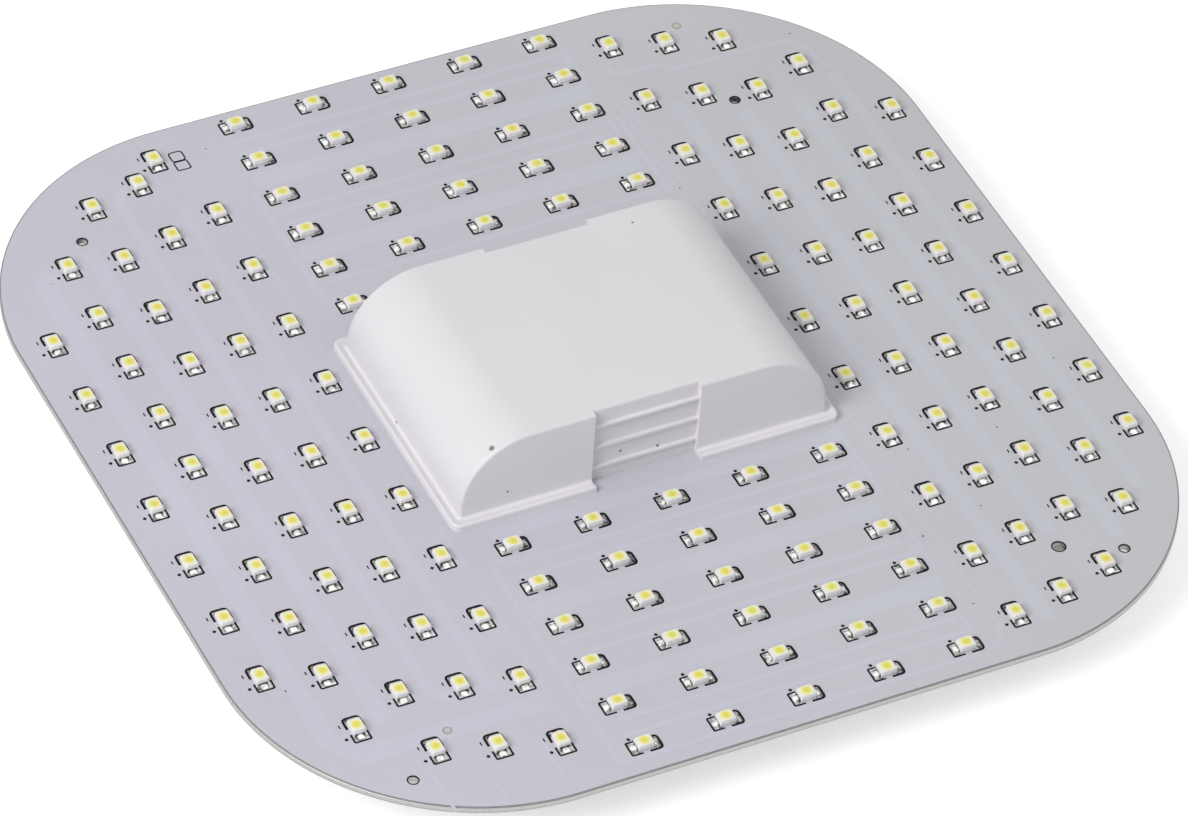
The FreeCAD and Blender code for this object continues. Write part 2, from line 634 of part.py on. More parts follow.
def make_rear_base():
    tub = doc.addObject("Part::Wedge", "tub_block")
    tub.setExpression("Ymin", "0")
    tub.setExpression("Ymax", "Sizes.base_depth")
    for axis, whole in (("X", FLANGE_LENGTH), ("Z", FLANGE_WIDTH)):
        tub.setExpression(axis + "min", "-%s / 2 + Sizes.base_draft" % whole)
        tub.setExpression(axis + "max", "%s / 2 - Sizes.base_draft" % whole)
        tub.setExpression(axis + "2min", "-%s / 2" % whole)
        tub.setExpression(axis + "2max", "%s / 2" % whole)
    tub.Placement.Rotation = FreeCAD.Rotation(FreeCAD.Vector(1, 0, 0), 90)
    top = size("base_depth")
    body = round_edges("tub_corners", tub, size("base_corner"),
                       lambda edge: near(edge.BoundBox.ZMin, 0) and near(edge.BoundBox.ZMax, top))
    body = round_edges("tub_rim", body, size("base_rim"),
                       lambda edge: near(edge.BoundBox.ZMin, 0) and near(edge.BoundBox.ZMax, 0))
    hollow = block("tub_hollow", FLANGE_LENGTH + " - 2 * Sizes.base_draft - 2 * Sizes.base_wall",
                   FLANGE_WIDTH + " - 2 * Sizes.base_draft - 2 * Sizes.base_wall",
                   "Sizes.base_depth - Sizes.base_wall", z="Sizes.base_wall")
    hollow = round_edges("hollow_corners", hollow, size("base_corner") - size("base_wall"), upright)
    body = cut("tub", body, hollow)
    raised = [body, block("socket_block", "Sizes.socket_length + 2 * Sizes.socket_wall",
                          "Sizes.socket_width + 2 * Sizes.socket_wall", SOCKET_ROOF)]
    sunk = [block("socket_space", "Sizes.socket_length", "Sizes.socket_width", SOCKET_DEPTH)]
    for number, (sign_x, sign_y) in enumerate(CORNERS):
        x = sign_x + SCREW_X
        y = sign_y + SCREW_Y
        raised.append(rod("base_boss_%d" % number, "Sizes.boss_radius", "Sizes.base_depth", x, y))
        sunk.append(rod("base_hole_%d" % number, "Sizes.screw_radius + Sizes.screw_clearance",
                        "Sizes.base_depth", x, y))
        sunk.append(rod("screw_well_%d" % number, "Sizes.screw_head + Sizes.well_clearance",
                        "Sizes.screw_seat", x, y))
        x = sign_x + "Sizes.pin_spacing_x / 2"
        y = sign_y + "Sizes.pin_spacing_y / 2"
        sunk.append(rod("pin_hole_%d" % number, "Sizes.pin_neck", "Sizes.base_depth", x, y))
        x, y = post_place(sign_x, sign_y)
        raised.append(rod("post_%d" % number, "Sizes.post_radius", DRIVER_BACK, x, y))
        sunk.append(rod("post_bore_%d" % number, "Sizes.post_screw", "Sizes.post_screw_length", x, y,
                        "%s + Sizes.driver_thick - Sizes.post_screw_length" % DRIVER_BACK))
    keep("rear_base", cut("base", fuse("base_raised", raised), fuse("base_sunk", sunk)))


def post_place(sign_x, sign_y):
    x = "%s + %s(Sizes.driver_length / 2 - Sizes.post_inset)" % (DRIVER_MIDDLE, sign_x)
    y = "%s(Sizes.driver_width / 2 - Sizes.post_inset)" % sign_y
    return x, y


# Screws and pins

def make_fasteners():
    screw = turned("cover_screw", [
        ("0", "-Sizes.screw_head_height"),
        ("Sizes.screw_head - Sizes.screw_head_slope", "-Sizes.screw_head_height"),
        ("Sizes.screw_head", "Sizes.screw_head_crown - Sizes.screw_head_height"),
        ("Sizes.screw_head", "0"),
        ("Sizes.screw_radius", "0"),
        ("Sizes.screw_radius", "Sizes.screw_length - Sizes.screw_radius"),
        ("0", "Sizes.screw_length"),
    ])
    x = value(SCREW_X)
    y = value(SCREW_Y)
    places = [(across, along, size("screw_seat"), 0) for across in (-x, x) for along in (-y, y)]
    keep("cover_screws", copies("cover_screw_group", screw, places))
    small = turned("driver_screw", [
        ("0", "-Sizes.post_screw_length"),
        ("Sizes.post_screw", "-Sizes.post_screw_length + Sizes.post_screw"),
        ("Sizes.post_screw", "0"),
        ("Sizes.post_screw_head", "0"),
        ("Sizes.post_screw_head", "Sizes.post_screw_head_height - Sizes.post_screw_crown"),
        ("Sizes.post_screw_head - Sizes.post_screw_slope", "Sizes.post_screw_head_height"),
        ("0", "Sizes.post_screw_head_height"),
    ])
    places = []
    for sign_x, sign_y in (("", "-"), ("-", "")):
        x, y = post_place(sign_x, sign_y)
        places.append((value(x), value(y), value(DRIVER_FRONT), 0))
    keep("driver_screws", copies("driver_screw_group", small, places))
    pin = turned("contact_pin", [
        ("0", SOCKET_DEPTH + " - Sizes.pin_length"),
        ("Sizes.pin_radius - Sizes.pin_tip", SOCKET_DEPTH + " - Sizes.pin_length"),
        ("Sizes.pin_radius", SOCKET_DEPTH + " - Sizes.pin_length + Sizes.pin_tip"),
        ("Sizes.pin_radius", SOCKET_DEPTH),
        ("Sizes.pin_neck", SOCKET_DEPTH),
        ("Sizes.pin_neck", DRIVER_BACK),
        ("Sizes.pin_tail", DRIVER_BACK),
        ("Sizes.pin_tail", DRIVER_FRONT + " + Sizes.tail_rise"),
        ("0", DRIVER_FRONT + " + Sizes.tail_rise"),
    ])
    x = size("pin_spacing_x") / 2
    y = size("pin_spacing_y") / 2
    places = [(across, along, 0, 0) for across in (-x, x) for along in (-y, y)]
    keep("contact_pins", copies("contact_pin_group", pin, places))


# Driver board and the pieces on it

def make_driver_board():
    body = new_body("driver")
    outer = sketch_on(body, "driver_outline", x=DRIVER_MIDDLE, z=DRIVER_BACK)
    rectangle(outer, "Sizes.driver_length", "Sizes.driver_width")
    pad(body, "driver_plate", outer, "Sizes.driver_thick")
    holes = sketch_on(body, "driver_holes", z=DRIVER_BACK)
    for sign_x in ("-", ""):
        for sign_y in ("-", ""):
            circle(holes, sign_x + "Sizes.pin_spacing_x / 2", sign_y + "Sizes.pin_spacing_y / 2",
                   "Sizes.pin_tail")
            circle(holes, *post_place(sign_x, sign_y), "Sizes.post_screw")
    pocket_through(body, "driver_drilling", holes)
    keep("driver_board", body)


def make_can(label, x, y):
    # An electrolytic capacitor: an aluminium can with a rolled groove
    low = "Sizes.can_groove_foot"
    high = "(Sizes.can_groove_foot + Sizes.can_groove_height)"
    can = turned(label + "_can", [
        ("0", "0"),
        ("Sizes.can_radius", "0"),
        ("Sizes.can_radius", low),
        ("Sizes.can_radius - Sizes.can_groove", low + " + Sizes.can_groove_height / 2"),
        ("Sizes.can_radius", high),
        ("Sizes.can_radius", "Sizes.can_height - Sizes.can_groove"),
        ("Sizes.can_radius - Sizes.can_groove", "Sizes.can_height"),
        ("0", "Sizes.can_height"),
    ])
    keep(label, place(can, x, y, DRIVER_FRONT))


def make_transformer():
    # A double-window core along X, a bobbin on its middle leg and the winding between the flanges
    x = DRIVER_LEFT + " + Sizes.transformer_side"
    y = DRIVER_END + " - Sizes.transformer_end"
    outer = block("core_block", "Sizes.core_length", "Sizes.core_width", "Sizes.core_height", x, y, DRIVER_FRONT)
    space = "(Sizes.core_length - 2 * Sizes.core_leg)"
    gap = "(Sizes.core_height - 2 * Sizes.core_leg)"
    level = "%s + Sizes.core_leg" % DRIVER_FRONT
    window = block("core_window", space, "2 * Sizes.core_width", gap, x, y, level)
    leg = rod("core_leg", "Sizes.core_middle / 2", gap, x, y, level)
    keep("transformer_core", fuse("core", [cut("core_frame", outer, window), leg]))
    wall = "Sizes.bobbin_wall"
    inner = "Sizes.core_middle / 2"
    spool = turned("bobbin", [
        (inner, "0"),
        ("Sizes.bobbin_radius", "0"),
        ("Sizes.bobbin_radius", wall),
        ("%s + %s" % (inner, wall), wall),
        ("%s + %s" % (inner, wall), "%s - %s" % (gap, wall)),
        ("Sizes.bobbin_radius", "%s - %s" % (gap, wall)),
        ("Sizes.bobbin_radius", gap),
        (inner, gap),
    ])
    keep("transformer_bobbin", place(spool, x, y, level))
    coil = turned("winding", [
        ("%s + %s" % (inner, wall), wall),
        ("Sizes.winding_radius", wall),
        ("Sizes.winding_radius", "%s - %s" % (gap, wall)),
        ("%s + %s" % (inner, wall), "%s - %s" % (gap, wall)),
    ])
    keep("transformer_winding", place(coil, x, y, level))


def lying_rod(name, radius, length, x, y):
    # A rod along Y that lies on the driver board
    cylinder = doc.addObject("Part::Cylinder", name)
    cylinder.setExpression("Radius", radius)
    cylinder.setExpression("Height", length)
    cylinder.Placement.Rotation = FreeCAD.Rotation(FreeCAD.Vector(1, 0, 0), 90)
    return place(cylinder, x, "%s + %s / 2" % (y, length), "%s + %s" % (DRIVER_FRONT, radius))


def make_driver_pieces():
    make_can("input_capacitor", DRIVER_LEFT + " + Sizes.input_can_side", "Sizes.input_can_y")
    make_can("output_capacitor", DRIVER_RIGHT + " - Sizes.output_can_side", DRIVER_END + " - Sizes.output_can_end")
    make_transformer()
    for label, short, sign_y in (("film_capacitor", "film", "-"), ("bridge_rectifier", "bridge", "-"),
                                 ("control_chip", "control", ""), ("output_diode", "diode", "")):
        piece = block(short + "_block", "Sizes.%s_length" % short, "Sizes.%s_width" % short,
                      "Sizes.%s_height" % short, "%s + Sizes.%s_side" % (DRIVER_LEFT, short),
                      "%s(%s - Sizes.%s_end)" % (sign_y, DRIVER_END, short), DRIVER_FRONT)
        keep(label, piece)
    keep("fuse_resistor", lying_rod("fuse", "Sizes.fuse_radius", "Sizes.fuse_length",
                                    DRIVER_RIGHT + " - Sizes.fuse_side", "Sizes.fuse_end - " + DRIVER_END))
    keep("surge_absorber", lying_rod("absorber", "Sizes.absorber_radius", "Sizes.absorber_thick",
                                     DRIVER_LEFT + " + Sizes.absorber_side", "Sizes.absorber_y"))
    choke = turned("choke", [
        ("0", "0"),
        ("Sizes.choke_radius", "0"),
        ("Sizes.choke_radius", "Sizes.choke_rim"),
        ("Sizes.choke_radius - Sizes.choke_waist", "Sizes.choke_rim + Sizes.choke_slope"),
        ("Sizes.choke_radius - Sizes.choke_waist", "Sizes.choke_height - Sizes.choke_rim - Sizes.choke_slope"),
        ("Sizes.choke_radius", "Sizes.choke_height - Sizes.choke_rim"),
        ("Sizes.choke_radius", "Sizes.choke_height"),
        ("0", "Sizes.choke_height"),
    ])
    keep("filter_choke", place(choke, DRIVER_RIGHT + " - Sizes.choke_side", "Sizes.choke_y", DRIVER_FRONT))


# Output leads: up from the driver board, over in one arc and down to the light board

def make_leads():
    for label, side in (("output_lead_positive", 1), ("output_lead_negative", -1)):
        y = side * size("lead_spacing") / 2
        start = value(DRIVER_RIGHT) - size("lead_start_inset")
        end = value(WINDOW_LENGTH) / 2 + size("lead_end_gap")
        foot = value(DRIVER_FRONT)
        level = foot + size("lead_rise")
        radius = (end - start) / 2
        points = [FreeCAD.Vector(start, y, foot), FreeCAD.Vector(start, y, level),
                  FreeCAD.Vector(start + radius, y, level + radius), FreeCAD.Vector(end, y, level),
                  FreeCAD.Vector(end, y, value(BOARD_FRONT))]
        path = Part.Wire([Part.LineSegment(points[0], points[1]).toShape(),
                          Part.Arc(points[1], points[2], points[3]).toShape(),
                          Part.LineSegment(points[3], points[4]).toShape()])
        ring = Part.Circle(points[0], FreeCAD.Vector(0, 0, 1), size("lead_radius")).toShape()
        lead = doc.addObject("Part::Feature", label + "_tube")
        lead.Shape = path.makePipeShell([Part.Wire([ring])], True, False)
        keep(label, lead)


make_light_board()
make_chips()
make_cover()
make_rear_base()
make_fasteners()
make_driver_board()
make_driver_pieces()
make_leads()
doc.recompute()

# Every object must have come out whole before anything is written

for item in doc.Objects:
    if "Invalid" in item.State or "Error" in item.State:
        raise RuntimeError("%s did not compute: %s" % (item.Name, item.State))
for label, item in PARTS.items():
    if item.Shape.isNull() or not item.Shape.isValid() or not item.Shape.Solids:
        raise RuntimeError("%s has no sound shape" % label)

os.makedirs("parts", exist_ok=True)
for label, item in PARTS.items():
    item.Shape.exportStep("parts/%s.step" % label)
    print("%-24s %3d solids %10.1f mm3" % (label, len(item.Shape.Solids), item.Shape.Volume))
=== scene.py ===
import math

import bmesh
import bpy
from mathutils import Matrix, Vector


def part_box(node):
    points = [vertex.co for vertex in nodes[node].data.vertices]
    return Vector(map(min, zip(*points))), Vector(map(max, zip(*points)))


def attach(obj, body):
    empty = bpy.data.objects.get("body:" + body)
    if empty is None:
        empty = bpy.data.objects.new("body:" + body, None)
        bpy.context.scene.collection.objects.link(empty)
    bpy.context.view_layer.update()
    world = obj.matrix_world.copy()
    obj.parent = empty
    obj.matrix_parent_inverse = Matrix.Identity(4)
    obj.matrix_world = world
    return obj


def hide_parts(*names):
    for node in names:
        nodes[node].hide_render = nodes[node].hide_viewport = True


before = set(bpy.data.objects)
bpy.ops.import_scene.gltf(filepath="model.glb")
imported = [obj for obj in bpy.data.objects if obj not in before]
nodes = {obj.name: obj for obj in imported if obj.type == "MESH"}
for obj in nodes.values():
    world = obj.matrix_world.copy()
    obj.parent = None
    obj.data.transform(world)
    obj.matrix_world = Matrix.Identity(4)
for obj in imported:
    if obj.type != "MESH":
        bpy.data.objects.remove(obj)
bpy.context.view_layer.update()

# Lengths are in millimetres, apart from those that a comment gives in metres

MM = 0.001
BOARD_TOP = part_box("aluminium_board")[1].z / MM
BOARD_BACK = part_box("aluminium_board")[0].z / MM
COVER_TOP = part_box("housing_cover")[1].z / MM


# Camera: the place and lens that the perspective of the board's outline and chip grid gives

LENS = 233.66
SENSOR = 36.0
EYE = Vector((-553.41, -984.52, 1076.04))
EYE_RIGHT = Vector((0.8974365, -0.4363555, 0.0648200))
EYE_DOWN = Vector((-0.2589168, -0.6399738, -0.7234609))
EYE_AHEAD = Vector((0.3571692, 0.6324772, -0.6873156))


def make_camera():
    data = bpy.data.cameras.new("camera")
    data.sensor_fit = "HORIZONTAL"
    data.sensor_width = SENSOR
    data.lens = LENS
    data.clip_start = 0.05
    data.clip_end = 20.0
    camera = bpy.data.objects.new("camera", data)
    bpy.context.scene.collection.objects.link(camera)
    turn = Matrix((EYE_RIGHT, -EYE_DOWN, -EYE_AHEAD)).transposed().to_4x4()
    camera.matrix_world = Matrix.Translation(EYE * MM) @ turn
    bpy.context.scene.camera = camera


make_camera()


# Shader helpers

def socket(sockets, identifier):
    # The socket with this identifier, for nodes where several share a name
    return next(item for item in sockets if item.identifier == identifier)


class Shader:
    # A principled material whose nodes read object coordinates
    def __init__(self, name, color, roughness, metallic=0.0, specular=0.5):
        self.material = bpy.data.materials.new(name)
        self.material.use_nodes = True
        self.tree = self.material.node_tree
        self.main = self.tree.nodes["Principled BSDF"]
        self.main.inputs["Base Color"].default_value = (*color, 1)
        self.main.inputs["Roughness"].default_value = roughness
        self.main.inputs["Metallic"].default_value = metallic
        self.main.inputs["Specular IOR Level"].default_value = specular
        self.coordinates = self.node("ShaderNodeTexCoord").outputs["Object"]

    def node(self, kind, **settings):
        made = self.tree.nodes.new(kind)
        for key, setting in settings.items():
            setattr(made, key, setting)
        return made

    def link(self, source, target):
        self.tree.links.new(source, target)

    def noise(self, scale, detail=3.0, roughness=0.5, stretch=None):
        # Scale is in cycles per millimetre
        texture = self.node("ShaderNodeTexNoise")
        texture.inputs["Scale"].default_value = scale / MM
        texture.inputs["Detail"].default_value = detail
        texture.inputs["Roughness"].default_value = roughness
        place = self.coordinates
        if stretch:
            mapping = self.node("ShaderNodeMapping")
            mapping.inputs["Scale"].default_value = stretch
            self.link(place, mapping.inputs["Vector"])
            place = mapping.outputs["Vector"]
        self.link(place, texture.inputs["Vector"])
        return texture.outputs["Fac"]

    def axis(self, name):
        # How far along X, Y or Z a place lies
        split = self.node("ShaderNodeSeparateXYZ")
        self.link(self.coordinates, split.inputs[0])
        return split.outputs[name]

    def attribute(self, name):
        return self.node("ShaderNodeAttribute", attribute_name=name).outputs["Fac"]

    def combined(self, operation, first, second):
        made = self.node("ShaderNodeMath", operation=operation)
        for target, setting in zip(made.inputs, (first, second)):
            if isinstance(setting, float):
                target.default_value = setting
            else:
                self.link(setting, target)
        return made.outputs[0]

    def span(self, source, low, high, to_low, to_high):
        made = self.node("ShaderNodeMapRange")
        self.link(source, made.inputs["Value"])
        for key, setting in (("From Min", low), ("From Max", high), ("To Min", to_low), ("To Max", to_high)):
            made.inputs[key].default_value = setting
        return made.outputs["Result"]

    def mixed(self, factor, first, second):
        made = self.node("ShaderNodeMix", data_type="RGBA")
        self.link(factor, made.inputs["Factor"])
        for identifier, setting in (("A_Color", first), ("B_Color", second)):
            target = socket(made.inputs, identifier)
            if isinstance(setting, tuple):
                target.default_value = (*setting, 1)
            else:
                self.link(setting, target)
        return socket(made.outputs, "Result_Color")

    def paint(self, color):
        self.link(color, self.main.inputs["Base Color"])

    def roughen(self, source, low, high):
        self.link(self.span(source, 0.3, 0.7, low, high), self.main.inputs["Roughness"])

    def bump(self, source, strength, distance):
        made = self.node("ShaderNodeBump")
        made.inputs["Strength"].default_value = strength
        made.inputs["Distance"].default_value = distance * MM
        self.link(source, made.inputs["Height"])
        self.link(made.outputs["Normal"], self.main.inputs["Normal"])

    def specks(self, base, places, tone):
        # Small dark marks at named places, each with its radius in millimetres
        for x, y, z, radius in places:
            distance = self.node("ShaderNodeVectorMath", operation="DISTANCE")
            self.link(self.coordinates, distance.inputs[0])
            distance.inputs[1].default_value = Vector((x, y, z)) * MM
            near = self.span(distance.outputs["Value"], radius * 0.55 * MM, radius * MM, 1.0, 0.0)
            base = self.mixed(near, base, tone)
        return base


def tinted(name, color, roughness, spread=0.06, scale=0.25, grain=0.0, specular=0.5):
    # A material whose tone drifts a little over the surface, with a fine grain in its relief
    shader = Shader(name, color, roughness, specular=specular)
    cloud = shader.noise(scale)
    low = tuple(channel * (1 - spread) for channel in color)
    high = tuple(min(1.0, channel * (1 + spread)) for channel in color)
    shader.paint(shader.mixed(shader.span(cloud, 0.3, 0.7, 0, 1), low, high))
    shader.roughen(cloud, roughness * 0.9, roughness * 1.1)
    if grain:
        shader.bump(shader.noise(6.0, 2.0), grain, 0.05)
    return shader.material


# Mesh helpers

def mend(mesh, merge=0.0):
    # Merges corners that lie closer than so many metres, and turns all faces outwards
    body = bmesh.new()
    body.from_mesh(mesh)
    if merge:
        bmesh.ops.remove_doubles(body, verts=body.verts, dist=merge)
    bmesh.ops.recalc_face_normals(body, faces=body.faces)
    body.to_mesh(mesh)
    body.free()


def finish_object(name, mesh, material, slot, replaces=(), smooth=None, merge=0.0):
    # A piece of the lamp's one body; smooth is the angle in degrees from which its edges stay sharp
    mend(mesh, merge)
    piece = bpy.data.objects.new(name, mesh)
    bpy.context.scene.collection.objects.link(piece)
    mesh.materials.clear()
    mesh.materials.append(material)
    if smooth is not None:
        mesh.shade_smooth()
        mesh.set_sharp_from_angle(angle=math.radians(smooth))
    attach(piece, "root")
    if replaces:
        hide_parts(*replaces)
    return piece


def grid_faces(rows, wide, wrap=False):
    # The quads between neighbouring rows of points; with wrap the last row also meets the first
    faces = []
    for row in range(rows if wrap else rows - 1):
        here, after = row * wide, (row + 1) % rows * wide
        faces += [(here + k, here + k + 1, after + k + 1, after + k) for k in range(wide - 1)]
    return faces


def circle(x, y, radius, sides=24):
    return [(x + radius * math.cos(math.tau * k / sides), y + radius * math.sin(math.tau * k / sides))
            for k in range(sides)]


def at_height(line, level):
    return [(x, y, level) for x, y in line]


class Pile:
    # Gathers vertices and faces of one mesh
    def __init__(self):
        self.vertices = []
        self.faces = []

    def add(self, vertices, faces):
        start = len(self.vertices)
        self.vertices += vertices
        self.faces += [tuple(start + corner for corner in face) for face in faces]

    def box(self, low, high):
        (a, b, c), (d, e, f) = low, high
        corners = [(x, y, z) for z in (c, f) for x, y in ((a, b), (d, b), (d, e), (a, e))]
        self.add(corners, [(3, 2, 1, 0), (4, 5, 6, 7), (0, 1, 5, 4), (1, 2, 6, 5), (2, 3, 7, 6), (3, 0, 4, 7)])

    def rings(self, rings):
        # Skins closed rings of equal length, from the lowest to the highest, and closes both ends
        count = len(rings[0])
        vertices = [place for ring in rings for place in ring]
        faces = []
        for level in range(len(rings) - 1):
            low = level * count
            for number in range(count):
                after = (number + 1) % count
                faces.append((low + number, low + after, low + count + after, low + count + number))
        faces.append(tuple(reversed(range(count))))
        faces.append(tuple(range(len(vertices) - count, len(vertices))))
        self.add(vertices, faces)

    def ribbon(self, points, width, low, high, closed=False):
        # A flat band of even width along a line of corners, with mitred turns
        count = len(points)
        left, right = [], []
        for number, point in enumerate(points):
            here = Vector(point)
            back = Vector(points[number - 1]) if closed or number else None
            ahead = Vector(points[(number + 1) % count]) if closed or number < count - 1 else None
            first = (here - back).normalized() if back is not None else (ahead - here).normalized()
            second = (ahead - here).normalized() if ahead is not None else first
            side = Vector((-first.y - second.y, first.x + second.x)).normalized()
            reach = width / 2 / max(0.4, side.dot(Vector((-first.y, first.x))))
            left.append(here + side * reach)
            right.append(here - side * reach)
        vertices = []
        for l, r in zip(left, right):
            vertices += [(l.x, l.y, low), (l.x, l.y, high), (r.x, r.y, high), (r.x, r.y, low)]
        faces = []
        for number in range(count if closed else count - 1):
            a, b = 4 * number, 4 * ((number + 1) % count)
            faces += [(a + k, b + k, b + (k + 1) % 4, a + (k + 1) % 4) for k in range(4)]
        if not closed:
            end = 4 * (count - 1)
            faces += [(0, 1, 2, 3), (end + 3, end + 2, end + 1, end)]
        self.add(vertices, faces)

    def disc(self, x, y, radius, low, high):
        line = circle(x, y, radius)
        self.rings([at_height(line, low), at_height(line, high)])

    def mesh(self, name):
        made = bpy.data.meshes.new(name)
        made.from_pydata([Vector(place) * MM for place in self.vertices], [], self.faces)
        return made


def add_object(name, pile, *rest):
    return finish_object(name, pile.mesh(name), *rest)


def rounded(corners, radius, steps=4):
    # An open line of corners with its inner corners rounded
    line = [Vector(corner) for corner in corners]
    out = [line[0]]
    for before, here, after in zip(line, line[1:], line[2:]):
        back = (before - here).normalized()
        ahead = (after - here).normalized()
        angle = back.angle(ahead)
        reach = min(radius / math.tan(angle / 2), (before - here).length * 0.49, (after - here).length * 0.49)
        start, end = here + back * reach, here + ahead * reach
        for step in range(steps + 1):
            part = step / steps
            out.append(start.lerp(here, part).lerp(here.lerp(end, part), part))
    out.append(line[-1])
    return [(point.x, point.y) for point in out]


def rounded_rectangle(half_x, half_y, radius, steps):
    # A closed line, counterclockwise from the corner at +X and +Y
    points = []
    for turn, (sign_x, sign_y) in enumerate(((1, 1), (-1, 1), (-1, -1), (1, -1))):
        for step in range(steps + 1):
            angle = math.radians(90 * turn + 90 * step / steps)
            points.append((sign_x * (half_x - radius) + radius * math.cos(angle),
                           sign_y * (half_y - radius) + radius * math.sin(angle)))
    return points


# Repeats by geometry nodes: one master, many places, each with its own turn

def repeat(name, master, places, material, slot, replaces=(), smooth=None, wobble=0.0, seed=1):
    # Wobble is how far the length and height of a copy may differ from the master's, as a share
    points = bpy.data.meshes.new(name + "_places")
    points.from_pydata([Vector((x, y, BOARD_TOP)) * MM for x, y, _ in places], [], [])
    turns = points.attributes.new("turn", "FLOAT", "POINT")
    turns.data.foreach_set("value", [math.radians(degrees) for _, _, degrees in places])
    holder = bpy.data.objects.new(name + "_holder", points)
    bpy.context.scene.collection.objects.link(holder)
    tree = bpy.data.node_groups.new(name, "GeometryNodeTree")
    tree.interface.new_socket("Geometry", in_out="INPUT", socket_type="NodeSocketGeometry")
    tree.interface.new_socket("Geometry", in_out="OUTPUT", socket_type="NodeSocketGeometry")
    sockets = {}
    for label, kind in (("Master", "NodeSocketObject"), ("Material", "NodeSocketMaterial"),
                        ("Wobble", "NodeSocketFloat"), ("Seed", "NodeSocketInt")):
        sockets[label] = tree.interface.new_socket(label, in_out="INPUT", socket_type=kind).identifier
    entry = tree.nodes.new("NodeGroupInput")
    leave = tree.nodes.new("NodeGroupOutput")
    info = tree.nodes.new("GeometryNodeObjectInfo")
    put = tree.nodes.new("GeometryNodeInstanceOnPoints")
    turn = tree.nodes.new("GeometryNodeInputNamedAttribute")
    turn.data_type = "FLOAT"
    turn.inputs["Name"].default_value = "turn"
    rotation = tree.nodes.new("ShaderNodeCombineXYZ")
    low = tree.nodes.new("ShaderNodeMath")
    low.operation = "SUBTRACT"
    low.inputs[0].default_value = 1.0
    high = tree.nodes.new("ShaderNodeMath")
    high.operation = "ADD"
    high.inputs[0].default_value = 1.0
    size = tree.nodes.new("FunctionNodeRandomValue")
    size.data_type = "FLOAT"
    size_share = socket(size.outputs, "Value_001")
    scale = tree.nodes.new("ShaderNodeCombineXYZ")
    scale.inputs["Y"].default_value = 1.0
    real = tree.nodes.new("GeometryNodeRealizeInstances")
    dress = tree.nodes.new("GeometryNodeSetMaterial")
    for source, target in (
            (entry.outputs["Geometry"], put.inputs["Points"]),
            (entry.outputs["Master"], info.inputs["Object"]),
            (info.outputs["Geometry"], put.inputs["Instance"]),
            (turn.outputs["Attribute"], rotation.inputs["Z"]),
            (rotation.outputs[0], put.inputs["Rotation"]),
            (entry.outputs["Wobble"], low.inputs[1]),
            (entry.outputs["Wobble"], high.inputs[1]),
            (low.outputs[0], socket(size.inputs, "Min_001")),
            (high.outputs[0], socket(size.inputs, "Max_001")),
            (entry.outputs["Seed"], size.inputs["Seed"]),
            (size_share, scale.inputs["X"]),
            (size_share, scale.inputs["Z"]),
            (scale.outputs[0], put.inputs["Scale"]),
            (put.outputs["Instances"], real.inputs["Geometry"]),
            (real.outputs["Geometry"], dress.inputs["Geometry"]),
            (entry.outputs["Material"], dress.inputs["Material"]),
            (dress.outputs["Geometry"], leave.inputs["Geometry"])):
        tree.links.new(source, target)
    spread = holder.modifiers.new("repeat", "NODES")
    spread.node_group = tree
    for label, setting in (("Master", master), ("Material", material), ("Wobble", wobble), ("Seed", seed)):
        spread[sockets[label]] = setting
    bpy.context.view_layer.update()
    evaluated = holder.evaluated_get(bpy.context.evaluated_depsgraph_get())
    mesh = bpy.data.meshes.new_from_object(evaluated)
    bpy.data.objects.remove(holder)
    mesh.name = name
    return finish_object(name, mesh, material, slot, replaces, smooth)


def make_master(name, pile, tones=None):
    # A pattern piece at the origin, whose zero height is the board's face; it goes once it is repeated
    mesh = pile.mesh(name)
    mend(mesh)
    if tones:
        layer = mesh.attributes.new("tone", "FLOAT", "POINT")
        layer.data.foreach_set("value", tones)
    master = bpy.data.objects.new(name, mesh)
    bpy.context.scene.collection.objects.link(master)
    return master


# Chip places: taken from the solid chips, whose longer side tells how each one is turned

CHIP_REACH = 5.0


def chip_places(node):
    # Corners within CHIP_REACH of a chip's first one are its own
    world = nodes[node].matrix_world
    groups = []
    for vertex in nodes[node].data.vertices:
        spot = (world @ vertex.co) / MM
        for group in groups:
            if (group[0] - spot).length < CHIP_REACH:
                group.append(spot)
                break
        else:
            groups.append([spot])
    places = []
    for group in groups:
        xs = [spot.x for spot in group]
        ys = [spot.y for spot in group]
        turn = 0 if max(xs) - min(xs) > max(ys) - min(ys) else 90
        places.append(((min(xs) + max(xs)) / 2, (min(ys) + max(ys)) / 2, turn))
    return places


FIELDS = {field: chip_places("led_bodies_" + field) for field in ("left", "right", "front", "back")}


# Light board: half side, corner radius, driver window (half sizes and corner radius), holes (place and
# radius), how deep its two upper layers reach, and the heights above its back between which the painted shade along
# its lower edge fades

SIDE = 102.0
CORNER = 52.0
WINDOW = (30.0, 22.0, 3.0)
SMALL_HOLES = [(-77.1, 76.3, 1.2), (67.0, 66.0, 1.2), (66.7, -77.6, 1.5), (78.6, -83.0, 1.2), (-78.5, -86.7, 1.2)]
SCREW_HOLES = [(35.5, 20.0, 1.7), (-35.5, 20.0, 1.7), (35.5, -20.0, 1.7), (-35.5, -20.0, 1.7)]
LACQUER_DEPTH = 0.08
DIELECTRIC_DEPTH = 0.34
EDGE_SHADE_LOW, EDGE_SHADE_HIGH = 0.3, 0.5


# Materials

